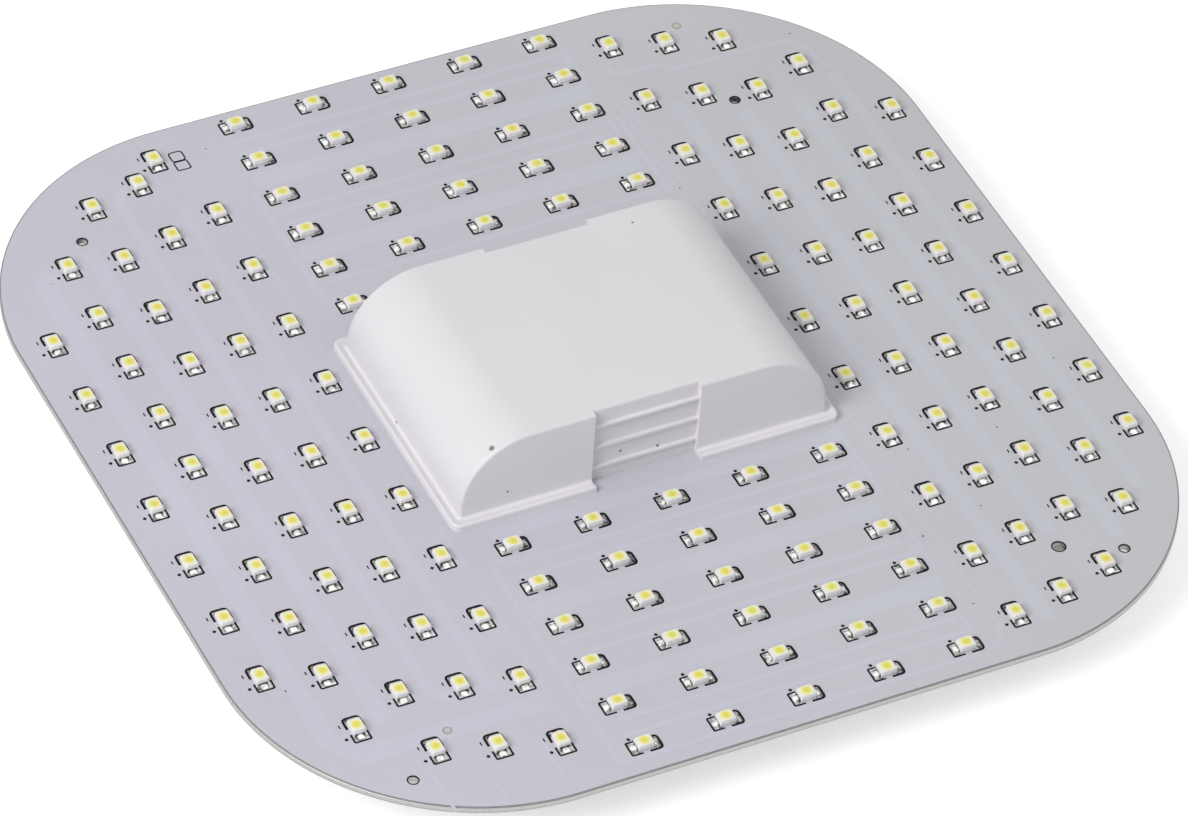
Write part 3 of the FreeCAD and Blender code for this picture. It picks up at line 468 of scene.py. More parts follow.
def make_lacquer(name, lift, marks):
    # White lacquer; painted light makes it faintly lilac on the left and neutral on the right; lift raises each
    # channel a little
    def tone(*channels):
        return tuple(channel * factor for channel, factor in zip(channels, lift))

    shader = Shader(name, tone(0.56, 0.54, 0.61), 0.33)
    cloud = shader.noise(0.03, 4.0)
    fine = shader.noise(0.5, 3.0)
    patches = shader.span(cloud, 0.3, 0.7, 0, 1)
    # Painted light: the left tones are lilac and the right ones neutral, blended along X below
    left = shader.mixed(patches, tone(0.55, 0.53, 0.60), tone(0.572, 0.556, 0.63))
    right = shader.mixed(patches, tone(0.53, 0.528, 0.555), tone(0.555, 0.558, 0.59))
    base = shader.mixed(shader.span(shader.axis("X"), -70 * MM, 90 * MM, 0, 1), left, right)
    dust = shader.span(fine, 0.35, 0.75, 0.0, 0.2)
    base = shader.mixed(dust, base, tone(0.59, 0.585, 0.64))
    shader.paint(shader.specks(base, marks, (0.16, 0.16, 0.17)))
    shader.roughen(fine, 0.30, 0.38)
    shader.bump(shader.noise(1.2, 3.0), 0.12, 0.04)
    return shader.material


def make_housing_plastic():
    shader = Shader("housing_plastic", (0.745, 0.727, 0.75), 0.45)
    cloud = shader.noise(0.05, 4.0)
    base = shader.mixed(shader.span(cloud, 0.3, 0.7, 0, 1), (0.735, 0.717, 0.74), (0.76, 0.742, 0.765))
    shader.paint(shader.specks(base, COVER_SPECKS, (0.2, 0.2, 0.2)))
    grain = shader.noise(4.0, 3.0)
    shader.roughen(grain, 0.38, 0.46)
    shader.bump(grain, 0.10, 0.03)
    return shader.material


def make_chip_plastic():
    # White moulding with a painted cream glow from the phosphor beside the cup
    shader = Shader("chip_body_plastic", (0.80, 0.785, 0.79), 0.45)
    fine = shader.noise(2.0, 3.0)
    plain = shader.mixed(shader.span(fine, 0.3, 0.7, 0, 1), (0.76, 0.745, 0.755), (0.82, 0.805, 0.81))
    shader.paint(shader.mixed(shader.attribute("tone"), plain, (0.86, 0.84, 0.66)))
    shader.bump(fine, 0.1, 0.04)
    return shader.material


def make_phosphor():
    # Deep yellow over the die, paler towards the rim of the cup
    shader = Shader("phosphor_fill", (0.72, 0.67, 0.13), 0.35)
    tone = shader.attribute("tone")
    inner = shader.mixed(shader.span(tone, 0.3, 0.75, 0, 1), (0.76, 0.70, 0.10), (0.84, 0.79, 0.27))
    base = shader.mixed(shader.span(tone, 0.7, 1.0, 0, 1), inner, (0.88, 0.85, 0.50))
    shader.paint(base)
    shader.bump(shader.noise(5.0, 2.0), 0.2, 0.03)
    return shader.material


def make_tin():
    # Tinned pads and solder: tone runs from near black painted shade through the tin's grey to near white painted
    # highlights, and noise adds blots
    shader = Shader("tinned_finish", (0.5, 0.5, 0.5), 0.35, 0.8)
    blots = shader.span(shader.noise(1.0, 3.0, 0.6), 0.3, 0.7, -0.5, 0.5)
    tone = shader.combined("ADD", shader.attribute("tone"), blots)
    base = shader.mixed(shader.span(tone, 0.0, 0.55, 0, 1), (0.03, 0.03, 0.028), (0.44, 0.44, 0.43))
    base = shader.mixed(shader.span(tone, 0.55, 1.0, 0, 1), base, (0.93, 0.93, 0.93))
    shader.paint(base)
    shader.bump(blots, 0.3, 0.05)
    return shader.material


def make_aluminium(name, color, roughness, along):
    shader = Shader(name, color, roughness, 1.0)
    lines = shader.noise(1.5, 3.0, 0.6, along)
    low = tuple(channel * 0.93 for channel in color)
    shader.paint(shader.mixed(shader.span(lines, 0.3, 0.7, 0, 1), low, color))
    shader.roughen(lines, roughness * 0.85, roughness * 1.2)
    shader.bump(lines, 0.15, 0.02)
    return shader.material


def make_core():
    # Sawn aluminium, darkened along its lower edge by painted shade
    shader = Shader("board_core", (0.56, 0.565, 0.55), 0.45, 1.0)
    lines = shader.noise(1.5, 3.0, 0.6, (1.0, 1.0, 0.2))
    base = shader.mixed(shader.span(lines, 0.3, 0.7, 0, 1), (0.42, 0.425, 0.415), (0.50, 0.505, 0.495))
    lower_edge_shade = shader.span(shader.axis("Z"), (BOARD_BACK + EDGE_SHADE_LOW) * MM, (BOARD_BACK + EDGE_SHADE_HIGH) * MM, 1.0, 0.0)
    shader.paint(shader.mixed(lower_edge_shade, base, (0.36, 0.36, 0.35)))
    shader.roughen(lines, 0.4, 0.52)
    return shader.material


# Specks of dirt on the board and the cover: place and radius

BOARD_SPECKS = [(x, y, BOARD_TOP, radius) for x, y, radius in (
    (-54.3, -25.8, 0.35), (43.8, 45.5, 0.35), (71.4, -42.7, 0.3), (-54.3, 66.0, 0.3), (47.2, 83.8, 0.3),
    (68.5, -40.1, 0.25), (57.7, -61.5, 0.25), (51.7, -41.6, 0.25), (87.4, 80.7, 0.3), (-42.2, 93.0, 0.25),
    (-8.4, 56.2, 0.3), (12.8, 54.6, 0.3), (17.0, 78.6, 0.2), (43.0, -64.8, 0.35), (43.4, -85.3, 0.3),
    (91.8, -29.0, 0.25))]
COVER_SPECKS = [(-33.65, -24.94, BOARD_TOP + 16.29, 0.75), (-40.7, 2.5, BOARD_TOP + 1.6, 0.4),
                (-4.9, -25.35, BOARD_TOP + 5.5, 0.4), (3.4, -25.4, BOARD_TOP + 4.1, 0.4),
                (19.9, 21.7, COVER_TOP, 0.35), (-30.3, -26.8, BOARD_TOP + 4.8, 0.35)]

LACQUER = make_lacquer("board_lacquer", (1.0, 1.0, 1.0), BOARD_SPECKS)
HOUSING = make_housing_plastic()
PHOSPHOR = make_phosphor()
GAP_LACQUER = make_lacquer("gap_lacquer", (1.02, 1.045, 1.07), [])
CHIP = make_chip_plastic()
INK = tinted("legend_ink", (0.008, 0.008, 0.01), 0.6, 0.2, 3.0, specular=0.1)
TIN = make_tin()
DIELECTRIC = tinted("board_dielectric", (0.25, 0.255, 0.26), 0.5, 0.1, 0.5)
CORE = make_core()
TEST_DISC = tinted("test_disc", (0.52, 0.54, 0.50), 0.4, 0.06, 1.0)
TEST_RING = tinted("test_ring", (0.35, 0.37, 0.31), 0.4, 0.1, 1.0)
# Near black for the hole rims, partly the dielectric's dark edge and partly painted shade
HOLE_RIM = tinted("hole_rim", (0.025, 0.025, 0.025), 0.6, 0.3, 0.8, specular=0.1)
PIN_BRASS = make_aluminium("pin_brass", (0.76, 0.60, 0.28), 0.28, (1.0, 1.0, 0.1))
SCREW_STEEL = make_aluminium("screw_steel", (0.58, 0.58, 0.57), 0.3, (1.0, 1.0, 1.0))


# Light board: bare aluminium core, thin dielectric and white lacquer, with real holes

def plate(name, low, high, inset, edge, material, replaces=()):
    # A sheet with the board's outline, window and holes, its edges broken by a small round
    curve = bpy.data.curves.new(name, "CURVE")
    curve.dimensions = "2D"
    curve.fill_mode = "BOTH"
    curve.extrude = ((high - low) / 2 - edge) * MM
    curve.bevel_depth = edge * MM
    curve.bevel_resolution = 2
    curve.offset = -(edge + inset) * MM
    loops = [rounded_rectangle(SIDE, SIDE, CORNER, 48), rounded_rectangle(*WINDOW, 6)]
    for x, y, radius in SMALL_HOLES + SCREW_HOLES:
        # The curve's offset moves the edge of a hole too, and most of that is taken back here
        loops.append(circle(x, y, radius - 0.8 * inset))
    for loop in loops:
        spline = curve.splines.new("POLY")
        spline.points.add(len(loop) - 1)
        for point, (x, y) in zip(spline.points, loop):
            point.co = (x * MM, y * MM, 0, 1)
        spline.use_cyclic_u = True
        spline.use_smooth = False
    holder = bpy.data.objects.new(name + "_holder", curve)
    bpy.context.scene.collection.objects.link(holder)
    bpy.context.view_layer.update()
    mesh = bpy.data.meshes.new_from_object(holder.evaluated_get(bpy.context.evaluated_depsgraph_get()))
    bpy.data.objects.remove(holder)
    mesh.name = name
    mesh.transform(Matrix.Translation((0, 0, (low + high) / 2 * MM)))
    return finish_object(name, mesh, material, "board_white", replaces, 12, 1e-6)


def make_board():
    top, middle = BOARD_TOP - LACQUER_DEPTH, BOARD_TOP - DIELECTRIC_DEPTH
    plate("board_core", BOARD_BACK, middle, 0.0, 0.12, CORE, ["aluminium_board"])
    plate("board_dielectric", middle, top, 0.06, 0.02, DIELECTRIC)
    plate("board_lacquer", top, BOARD_TOP, 0.32, 0.03, LACQUER)


# Etched gaps between the copper fields, which show as lighter bands under the lacquer: width and corners

THIN = 0.7
ROW_BAND = 1.3
BAND_TURN = 2.2
GAPS = [
    (4.2, [(-86.4, 69.2), (-89.3, 67.6), (-89.3, -71.0), (-84.6, -77.4), (-45.6, -77.4)]),
    (3.6, [(-76.9, 73.4), (-76.9, -70.6)]),
    (2.4, [(-63.0, 88.2), (-65.6, 84.4), (-65.6, -67.6), (-62.2, -69.6)]),
    (2.4, [(-54.2, 80.4), (-54.2, -71.2)]),
    (THIN, [(-55.6, 88.0), (-55.4, 80.6)]),
    (THIN, [(-46.6, 79.6), (-44.7, 77.6), (-44.7, -85.8)]),
    (THIN, [(-88.0, -71.2), (-78.2, -71.2)]),
    (THIN, [(-82.0, -79.2), (-74.4, -79.2)]),
    (THIN, [(-74.4, -84.8), (-74.4, -97.2)]),
    (THIN, [(-64.0, -84.8), (-64.0, -98.4)]),
    (THIN, [(-57.6, -78.8), (-57.6, -81.8)]),
    (THIN, [(-51.4, -86.8), (-51.4, -98.8)]),
    (3.6, [(55.2, 70.4), (55.2, -95.0)]),
    (3.4, [(67.0, 62.6), (67.0, -73.6)]),
    (3.6, [(79.5, 62.0), (79.5, -79.2)]),
    (2.8, [(90.1, 66.4), (90.1, -68.8)]),
    (THIN, [(45.2, 75.0), (45.2, -91.0)]),
    (THIN, [(43.4, 75.0), (43.4, 34.0)]),
    (1.5, [(46.8, 85.6), (46.8, 82.4), (58.3, 82.0), (58.3, 79.6), (85.6, 79.2), (88.8, 75.0), (90.0, 67.8)]),
    (1.2, [(57.2, 70.6), (64.0, 70.2), (66.8, 67.8)]),
    (5.0, [(-37.4, 79.6), (40.2, 79.6)]),
    (5.0, [(-37.4, 56.1), (40.2, 56.1)]),
    (1.6, [(-38.6, 77.0), (-38.6, 42.2)]),
    (1.4, [(41.6, 70.2), (41.6, 45.2)]),
    (1.0, [(40.4, 98.4), (40.4, 82.2)]),
    (1.3, [(-36.8, 46.5), (39.8, 46.5)]),
    (4.8, [(-38.8, -54.4), (38.4, -54.4)]),
    (4.8, [(-38.8, -78.0), (40.4, -78.0)]),
    (3.2, [(-36.8, -32.6), (41.8, -32.6)]),
    (1.4, [(-36.4, -39.4), (-40.0, -39.4), (-40.0, -97.6), (-37.0, -98.4)]),
    (1.2, [(41.2, -34.4), (41.2, -51.6)]),
    (1.2, [(41.2, -57.0), (41.2, -75.2)]),
    (1.4, [(45.8, -92.0), (44.0, -96.0), (40.8, -98.2)]),
]
# Bands beside the chips of the rows, the joins at their right ends, and ticks beside the left edge
GAPS += [(ROW_BAND, [(-36.6, level), (38.6, level)])
         for level in (92.6, 88.7, 69.6, 65.7, -41.0, -45.0, -64.3, -68.3, -87.5, -91.5, -98.0)]
GAPS += [(ROW_BAND, [(39.6, level + 2.6), (39.6, level - 2.6)]) for level in (90.65, 67.65, -43.0, -66.3, -89.5)]
GAPS += [(THIN, [(-92.0, 45.4 - 16.9 * chip), (-91.2, 45.4 - 16.9 * chip)]) for chip in range(7)]

# How far marks reach into the board, and how far the lowest band and each next one stand above it
MARK_SINK = 0.02
BAND_RISE = 0.006
BAND_STEP = 0.0025
BAND_LEVELS = 11


def make_gaps():
    # Bands that cross lie at slightly different heights
    pile = Pile()
    for number, (width, corners) in enumerate(GAPS):
        line = rounded(corners, BAND_TURN) if len(corners) > 2 else corners
        top = BOARD_TOP + BAND_RISE + BAND_STEP * (number % BAND_LEVELS)
        pile.ribbon(line, width, BOARD_TOP - MARK_SINK, top)
    add_object("copper_gaps", pile, GAP_LACQUER, "board_white")


# Light chips, drawn at the origin with their length along X: half sizes of the body and radius of its cup

CHIP_X = 1.75
CHIP_Y = 1.4
CUP = 1.2
# Body from its foot up: inset, corner radius, height, and how far the marked corner is cut
BODY_SECTION = [(0.06, 0.25, 0.02, 0.0), (0.0, 0.3, 0.14, 0.0), (0.0, 0.3, 0.72, 0.0), (0.06, 0.32, 1.3, 0.04),
                (0.1, 0.34, 1.44, 0.08), (0.16, 0.34, 1.495, 0.1)]
# Cup from its lip down, and phosphor from its rim to the middle: radius and height
CUP_SECTION = [(CUP, 1.5), (1.18, 1.475), (1.05, 1.25)]
PHOSPHOR_SECTION = [(CUP, 1.42), (1.19, 1.468), (1.04, 1.48), (0.82, 1.486), (0.58, 1.49), (0.28, 1.492)]
PHOSPHOR_SIDES = 20


def make_chip_body():
    # A moulded body with soft corners, one of them cut, and a round cup for the phosphor
    steps = 5
    rings = []
    for inset, radius, level, cut in BODY_SECTION:
        ring = rounded_rectangle(CHIP_X - inset, CHIP_Y - inset, radius, steps)
        marked = slice(steps + 1, 2 * (steps + 1))
        ring[marked] = [(x + cut, y - cut) for x, y in ring[marked]]
        rings.append(at_height(ring, level))
    # As many points round the cup, in four groups that face the body's corners
    angles = [math.radians(90 * corner + 9 + 72 * step / steps) for corner in range(4) for step in range(steps + 1)]
    for radius, level in CUP_SECTION:
        rings.append([(radius * math.cos(angle), radius * math.sin(angle), level) for angle in angles])
    pile = Pile()
    pile.rings(rings)
    # The painted cream glow is faint on the topmost ring of the body and full in the cup
    ring_tones = [0.0] * (len(BODY_SECTION) - 1) + [0.25] + [1.0] * len(CUP_SECTION)
    return make_master("chip_body", pile, [tone for tone in ring_tones for _ in angles])


def make_chip_window():
    pile = Pile()
    pile.rings([at_height(circle(0.0, 0.0, radius, PHOSPHOR_SIDES), level) for radius, level in PHOSPHOR_SECTION])
    tones = [radius / CUP for radius, _ in PHOSPHOR_SECTION for _ in range(PHOSPHOR_SIDES)]
    return make_master("chip_window", pile, tones)


# Soldered ends: top of the pad; boxes of pads and end plates with their tone; heaps of solder with their
# side, half width, tone and profile (distance from the chip's middle and height); places across a heap.
# Low tones, as on the end plates, are painted shade, and the highest, on the heap at the exposed end, a painted
# highlight

PAD_TOP = 0.02
END_BOXES = [((-3.12, -1.6, -0.02), (-1.5, 1.42, PAD_TOP), 0.62), ((1.5, -1.6, -0.02), (3.12, 1.42, PAD_TOP), 0.3),
             ((-1.83, -1.02, PAD_TOP), (-1.7, 1.02, 0.6), 0.1), ((1.7, -1.02, PAD_TOP), (1.83, 1.02, 0.6), 0.2)]
HEAPS = [(-1, 0.78, 1.05, [(1.83, 0.42), (1.95, 0.43), (2.15, 0.38), (2.4, 0.27), (2.65, 0.14), (2.85, 0.04)]),
         (1, 0.85, 0.55, [(1.83, 0.45), (1.95, 0.4), (2.15, 0.3), (2.4, 0.2), (2.65, 0.1), (2.85, 0.04)])]
ACROSS = [-1.0, -0.92, -0.7, -0.35, 0.0, 0.35, 0.7, 0.92, 1.0]


def mound(pile, tones, side, half, tone, profile):
    # A rounded heap of solder that falls from the chip's end down to the pad; painted shade darkens it along its foot
    # and makes its skirt near black
    wide, rows = len(ACROSS), len(profile)
    grid = []
    for reach, level in profile:
        for part in ACROSS:
            fall = 1.0 - abs(part) ** 4
            grid.append((side * reach, part * half, PAD_TOP + (level - PAD_TOP) * fall))
            tones.append(tone * (0.35 + 0.65 * fall))
    tones += [0.0] * len(grid)
    count = len(grid)
    faces = grid_faces(rows, wide)
    # The border runs once round the grid, and a skirt drops from it to the board
    border = ([k for k in range(wide)] + [row * wide + wide - 1 for row in range(1, rows)]
              + [(rows - 1) * wide + k for k in range(wide - 2, -1, -1)]
              + [row * wide for row in range(rows - 2, 0, -1)])
    for first, second in zip(border, border[1:] + border[:1]):
        faces.append((second, first, count + first, count + second))
    faces.append(tuple(count + number for number in border))
    pile.add(grid + [(u, v, 0.0) for u, v, _ in grid], faces)


def make_terminals():
    # A pad, a folded end plate and a heap of solder at each end of the chip
    pile = Pile()
    tones = []
    for low, high, tone in END_BOXES:
        pile.box(low, high)
        tones += [tone] * 8
    for heap in HEAPS:
        mound(pile, tones, *heap)
    return make_master("chip_terminal", pile, tones)


# Print: its height; the signs beside a chip as lines with their width and lift, a plus being two that cross

INK_RISE = 0.03
CROSSING = 0.004
COLUMN_SIGNS = [([(1.25, 2.8), (2.15, 2.8)], 0.26, 0.0), ([(-2.24, 2.87), (-1.48, 2.87)], 0.34, 0.0),
                ([(-1.86, 2.49), (-1.86, 3.25)], 0.34, CROSSING)]
ROW_SIGNS = [([(-2.58, 2.43), (-1.82, 2.43)], 0.34, 0.0), ([(-2.2, 2.05), (-2.2, 2.81)], 0.34, CROSSING)]


def make_legend(name, signs):
    # The printed outline round a chip: a thin box at one end, a thick bracket at the other
    pile = Pile()
    pile.ribbon(rounded([(-0.95, -1.83), (-3.25, -1.83), (-3.25, 1.63), (-0.95, 1.63)], 0.25, 3), 0.4, 0.0, INK_RISE)
    pile.ribbon(rounded([(0.5, -1.84), (3.32, -1.84), (3.32, 1.64), (0.5, 1.64)], 0.85, 4), 0.5, 0.0, INK_RISE)
    for line, width, lift in signs:
        pile.ribbon(line, width, 0.0, INK_RISE + lift)
    return make_master(name, pile)


def make_chips():
    body, window, terminal = make_chip_body(), make_chip_window(), make_terminals()
    beside_columns = make_legend("legend_column", COLUMN_SIGNS)
    beside_rows = make_legend("legend_row", ROW_SIGNS)
    for field, spots in FIELDS.items():
        repeat("chips_" + field, body, spots, CHIP, "chip_white", ["led_bodies_" + field], 50)
        repeat("chip_windows_" + field, window, spots, PHOSPHOR, "phosphor", ["led_windows_" + field], 60)
        repeat("chip_terminals_" + field, terminal, spots, TIN, "solder", ["led_terminals_" + field], 50, 0.04)
    repeat("legend_columns", beside_columns, FIELDS["left"] + FIELDS["right"], INK, "board_white")
    repeat("legend_rows", beside_rows, FIELDS["front"] + FIELDS["back"], INK, "board_white")
    for master in (body, window, terminal, beside_columns, beside_rows):
        bpy.data.objects.remove(master)


# Marks on the board: a spare printed outline of two boxes, test pads, and dark rims at the small holes, which stand
# for the dielectric's dark edge and painted shade in each hole's mouth

SPARE_X = -48.75
SPARE_BOXES = [((1.45, 1.4, 0.6), 93.0), ((1.45, 1.3, 0.3), 90.1)]
SPARE_LINE = 0.29
TEST_PADS = [(66.1, 91.8), (-66.9, -77.3)]
RIM_WIDTH = 0.24
RIM_INSET = 0.08


def make_board_marks():
    spare, rings, discs, rims = Pile(), Pile(), Pile(), Pile()
    for shape, middle in SPARE_BOXES:
        line = [(x + SPARE_X, y + middle) for x, y in rounded_rectangle(*shape, 3)]
        spare.ribbon(line, SPARE_LINE, BOARD_TOP, BOARD_TOP + INK_RISE, True)
    for x, y in TEST_PADS:
        rings.disc(x, y, 1.0, BOARD_TOP - MARK_SINK, BOARD_TOP + 0.035)
        discs.disc(x, y, 0.62, BOARD_TOP - MARK_SINK, BOARD_TOP + 0.045)
    # Rims: near black rings lining each small hole's mouth, partly the dielectric's dark edge and partly painted
    # shade
    for x, y, radius in SMALL_HOLES:
        rims.ribbon(circle(x, y, radius - RIM_INSET), RIM_WIDTH, BOARD_TOP - 0.2, BOARD_TOP + 0.012, True)
    add_object("spare_outline", spare, INK, "board_white")
    add_object("hole_rims", rims, HOLE_RIM, "board_white")
    add_object("test_rings", rings, TEST_RING, "solder")
    add_object("test_discs", discs, TEST_DISC, "solder")


# Housing cover: half sizes at its foot, height, lean of its walls, shoulders, rounding of its end edges,
# finger grips with the tops of their ribs, and flange

HALF_X = 40.75
HALF_Y = 26.9
HEIGHT = 18.6
LEAN = 0.5 / HEIGHT
SHOULDER = 15.0
EDGE = 0.7
EDGE_STEPS = 5
GRIP_X = 11.7
GRIP_DEPTH = 1.4
RIB_TOPS = (3.9, 9.3, 14.7)
FLANGE_X = 2.1
FLANGE_Y = 2.35
FLANGE_THICK = 1.5
# Section of a rib: place outwards from the grip's wall and depth below the rib's top
RIB_SECTION = [(-0.4, 0.9), (0.6, 0.9), (0.75, 0.82), (0.8, 0.68), (0.8, 0.2), (0.75, 0.06), (0.62, 0.0), (-0.4, 0.0)]
# Section of the flange: share of its step outwards from the cover's foot, and height;
# lip, bead along its edge, hollow and root
FLANGE_SECTION = [(-0.8, 0.0), (1.0, 0.0), (1.0, 0.95), (0.985, 1.2), (0.94, 1.38), (0.87, 1.48), (0.79, 1.5),
                  (0.7, 1.46), (0.6, 1.37), (0.46, 1.22), (0.33, 1.12), (0.2, 1.08), (0.1, 1.14), (0.04, 1.28),
                  (0.0, 1.5), (-0.02, 1.75), (-0.8, 1.75)]
# Radius of the flange's corners at the cover's foot, what it gains up to the lip, and its least
CORNER_FOOT, CORNER_GAIN, CORNER_LEAST = 0.7, 1.1, 0.25
CORNER_STEPS = 8


def cover_profile():
    # Half section in X and height: place and outward normal, from the right foot to the middle
    tilt = math.atan(LEAN)
    centre_x = HALF_X - LEAN * (HEIGHT - SHOULDER) - SHOULDER / math.cos(tilt)
    centre_z = HEIGHT - SHOULDER
    points = []
    for level in (0.0, FLANGE_THICK * 0.6, FLANGE_THICK + 1.0):
        points.append((HALF_X - LEAN * level, level, math.cos(tilt), math.sin(tilt)))
    steps = 30
    for step in range(steps + 1):
        angle = tilt + (math.pi / 2 - tilt) * step / steps
        points.append((centre_x + SHOULDER * math.cos(angle), centre_z + SHOULDER * math.sin(angle),
                       math.cos(angle), math.sin(angle)))
    for x in (19.0, GRIP_X):
        points.append((x, HEIGHT, 0.0, 1.0))
    return points


def end_y(level, inset=0.0):
    return HALF_Y - inset - LEAN * level


def edge_round():
    # The round of an end edge: how far outwards from its centre and how far down each point lies
    angles = [math.pi / 2 * step / EDGE_STEPS for step in range(EDGE_STEPS + 1)]
    return [(EDGE * math.cos(angle), EDGE * (1 - math.sin(angle))) for angle in angles]


def cover_rows(stations, inset):
    # For each station a row of points over the cover, from the front end face to the back one
    rows = []
    for x, level, nx, nz in stations:
        half = [(x - nx * drop, end_y(level, inset) - EDGE + reach, max(0.0, level - nz * drop))
                for reach, drop in edge_round()]
        rows.append([(px, -y, pz) for px, y, pz in half] + half[::-1])
    return rows


def make_cover(pile):
    right = cover_profile()
    left = [(-x, level, -nx, nz) for x, level, nx, nz in reversed(right)]
    middle = [(x, HEIGHT, 0.0, 1.0) for x in (GRIP_X, 0.0, -GRIP_X)]
    for stations, inset in ((right, 0.0), (left, 0.0), (middle, GRIP_DEPTH)):
        rows = cover_rows(stations, inset)
        pile.add([place for row in rows for place in row], grid_faces(len(rows), len(rows[0])))
        # The flat drafted end faces, from under the round edges down to the board
        for index, sign in ((0, -1), (-1, 1)):
            upper = [row[index] for row in rows]
            lower = [(x, y + sign * LEAN * z, 0.0) for x, y, z in upper]
            pile.add(upper + lower, grid_faces(2, len(upper)))


def grip_cheeks(pile):
    # The upright walls at both sides of each finger grip
    outer = [(end_y(0.0), 0.0)] + [(end_y(HEIGHT) - EDGE + reach, HEIGHT - drop) for reach, drop in edge_round()]
    ring = outer + [(y - GRIP_DEPTH, z) for y, z in reversed(outer)]
    for side in (-1, 1):
        for sign in (-1, 1):
            pile.add([(side * GRIP_X, sign * y, z) for y, z in ring], [tuple(range(len(ring)))])


def grip_ribs(pile):
    # Level ribs across each finger grip, with a small round on their outer edges
    for top in RIB_TOPS:
        for sign in (-1, 1):
            wall = end_y(top, GRIP_DEPTH)
            pile.rings([[(x, sign * (wall + reach), top - depth) for reach, depth in RIB_SECTION]
                        for x in (-GRIP_X, GRIP_X)])


def make_flange(pile):
    # Two brackets of flange, left and right of the finger grips, which start a hair beside them
    for side in (-1, 1):
        rings = []
        for share, level in FLANGE_SECTION:
            lean = LEAN * level if share <= 0 else 0
            half_x = HALF_X + share * FLANGE_X - lean
            half_y = HALF_Y + share * FLANGE_Y - lean
            radius = max(CORNER_LEAST, CORNER_FOOT + CORNER_GAIN * share)
            line = [(GRIP_X + 0.01, half_y)]
            for step in range(CORNER_STEPS + 1):
                angle = math.pi / 2 * (1 - step / CORNER_STEPS)
                line.append((half_x - radius + radius * math.cos(angle), half_y - radius + radius * math.sin(angle)))
            line += [(x, -y) for x, y in reversed(line)]
            rings.append([(side * x, y, level) for x, y in line])
        rows, count = len(rings), len(rings[0])
        faces = grid_faces(rows, count, True)
        faces += [tuple(row * count + end for row in range(rows)) for end in (0, count - 1)]
        pile.add([place for ring in rings for place in ring], faces)


def make_housing():
    pile = Pile()
    for make in (make_cover, grip_cheeks, grip_ribs, make_flange):
        make(pile)
    pile.vertices = [(x, y, z + BOARD_TOP) for x, y, z in pile.vertices]
    add_object("cover_shell", pile, HOUSING, "housing_white", ["housing_cover"], 32, 2e-6)


# Cover screws: pan heads with a cross recess, seen from below in their wells. The screw is radius and
# height from its tip down, the recess is reach, half width and height, and the turns are in radians

HEAD_SEAT = 4.0
SCREW = [(0.12, 21.5), (0.8, 20.9), (1.3, 20.3), (1.45, 19.9), (1.45, HEAD_SEAT), (2.74, HEAD_SEAT), (2.8, 3.93),
         (2.8, 2.9), (2.75, 2.72), (2.58, 2.47), (2.33, 2.25), (2.03, 2.09), (1.72, 2.02)]
RECESS = [(1.36, 0.33, 2.02), (1.3, 0.3, 2.12), (1.0, 0.26, 2.7), (0.3, 0.2, 3.3)]
FIRST_TURN, NEXT_TURN = 0.4, 0.9


def cross(reach, half):
    # A cross with pointed corners; each arm has points at its end, along its sides and at its root
    arm = [(reach, -half), (reach, 0.0), (reach, half), ((reach + half) / 2, half), (half, half),
           (half, (reach + half) / 2)]
    points = []
    for turn in range(4):
        cosine, sine = round(math.cos(math.pi / 2 * turn)), round(math.sin(math.pi / 2 * turn))
        points += [(x * cosine - y * sine, x * sine + y * cosine) for x, y in arm]
    return points


def make_cover_screws():
    angles = [math.atan2(y, x) for x, y in cross(*RECESS[0][:2])]
    pile = Pile()
    for number, (x, y, _) in enumerate(SCREW_HOLES):
        turn = FIRST_TURN + NEXT_TURN * number
        cosine, sine = math.cos(turn), math.sin(turn)
        rings = [[(radius * math.cos(angle), radius * math.sin(angle), level) for angle in angles]
                 for radius, level in SCREW]
        rings += [at_height(cross(reach, half), level) for reach, half, level in RECESS]
        pile.rings([[(x + a * cosine - b * sine, y + a * sine + b * cosine, level) for a, b, level in ring]
                    for ring in rings])
    add_object("cross_head_screws", pile, SCREW_STEEL, "screw_steel", ["cover_screws"], 40)


# Finishes of the pieces that keep their own shape

def wear(node, material):
    mesh = nodes[node].data
    mesh.materials.clear()
    mesh.materials.append(material)


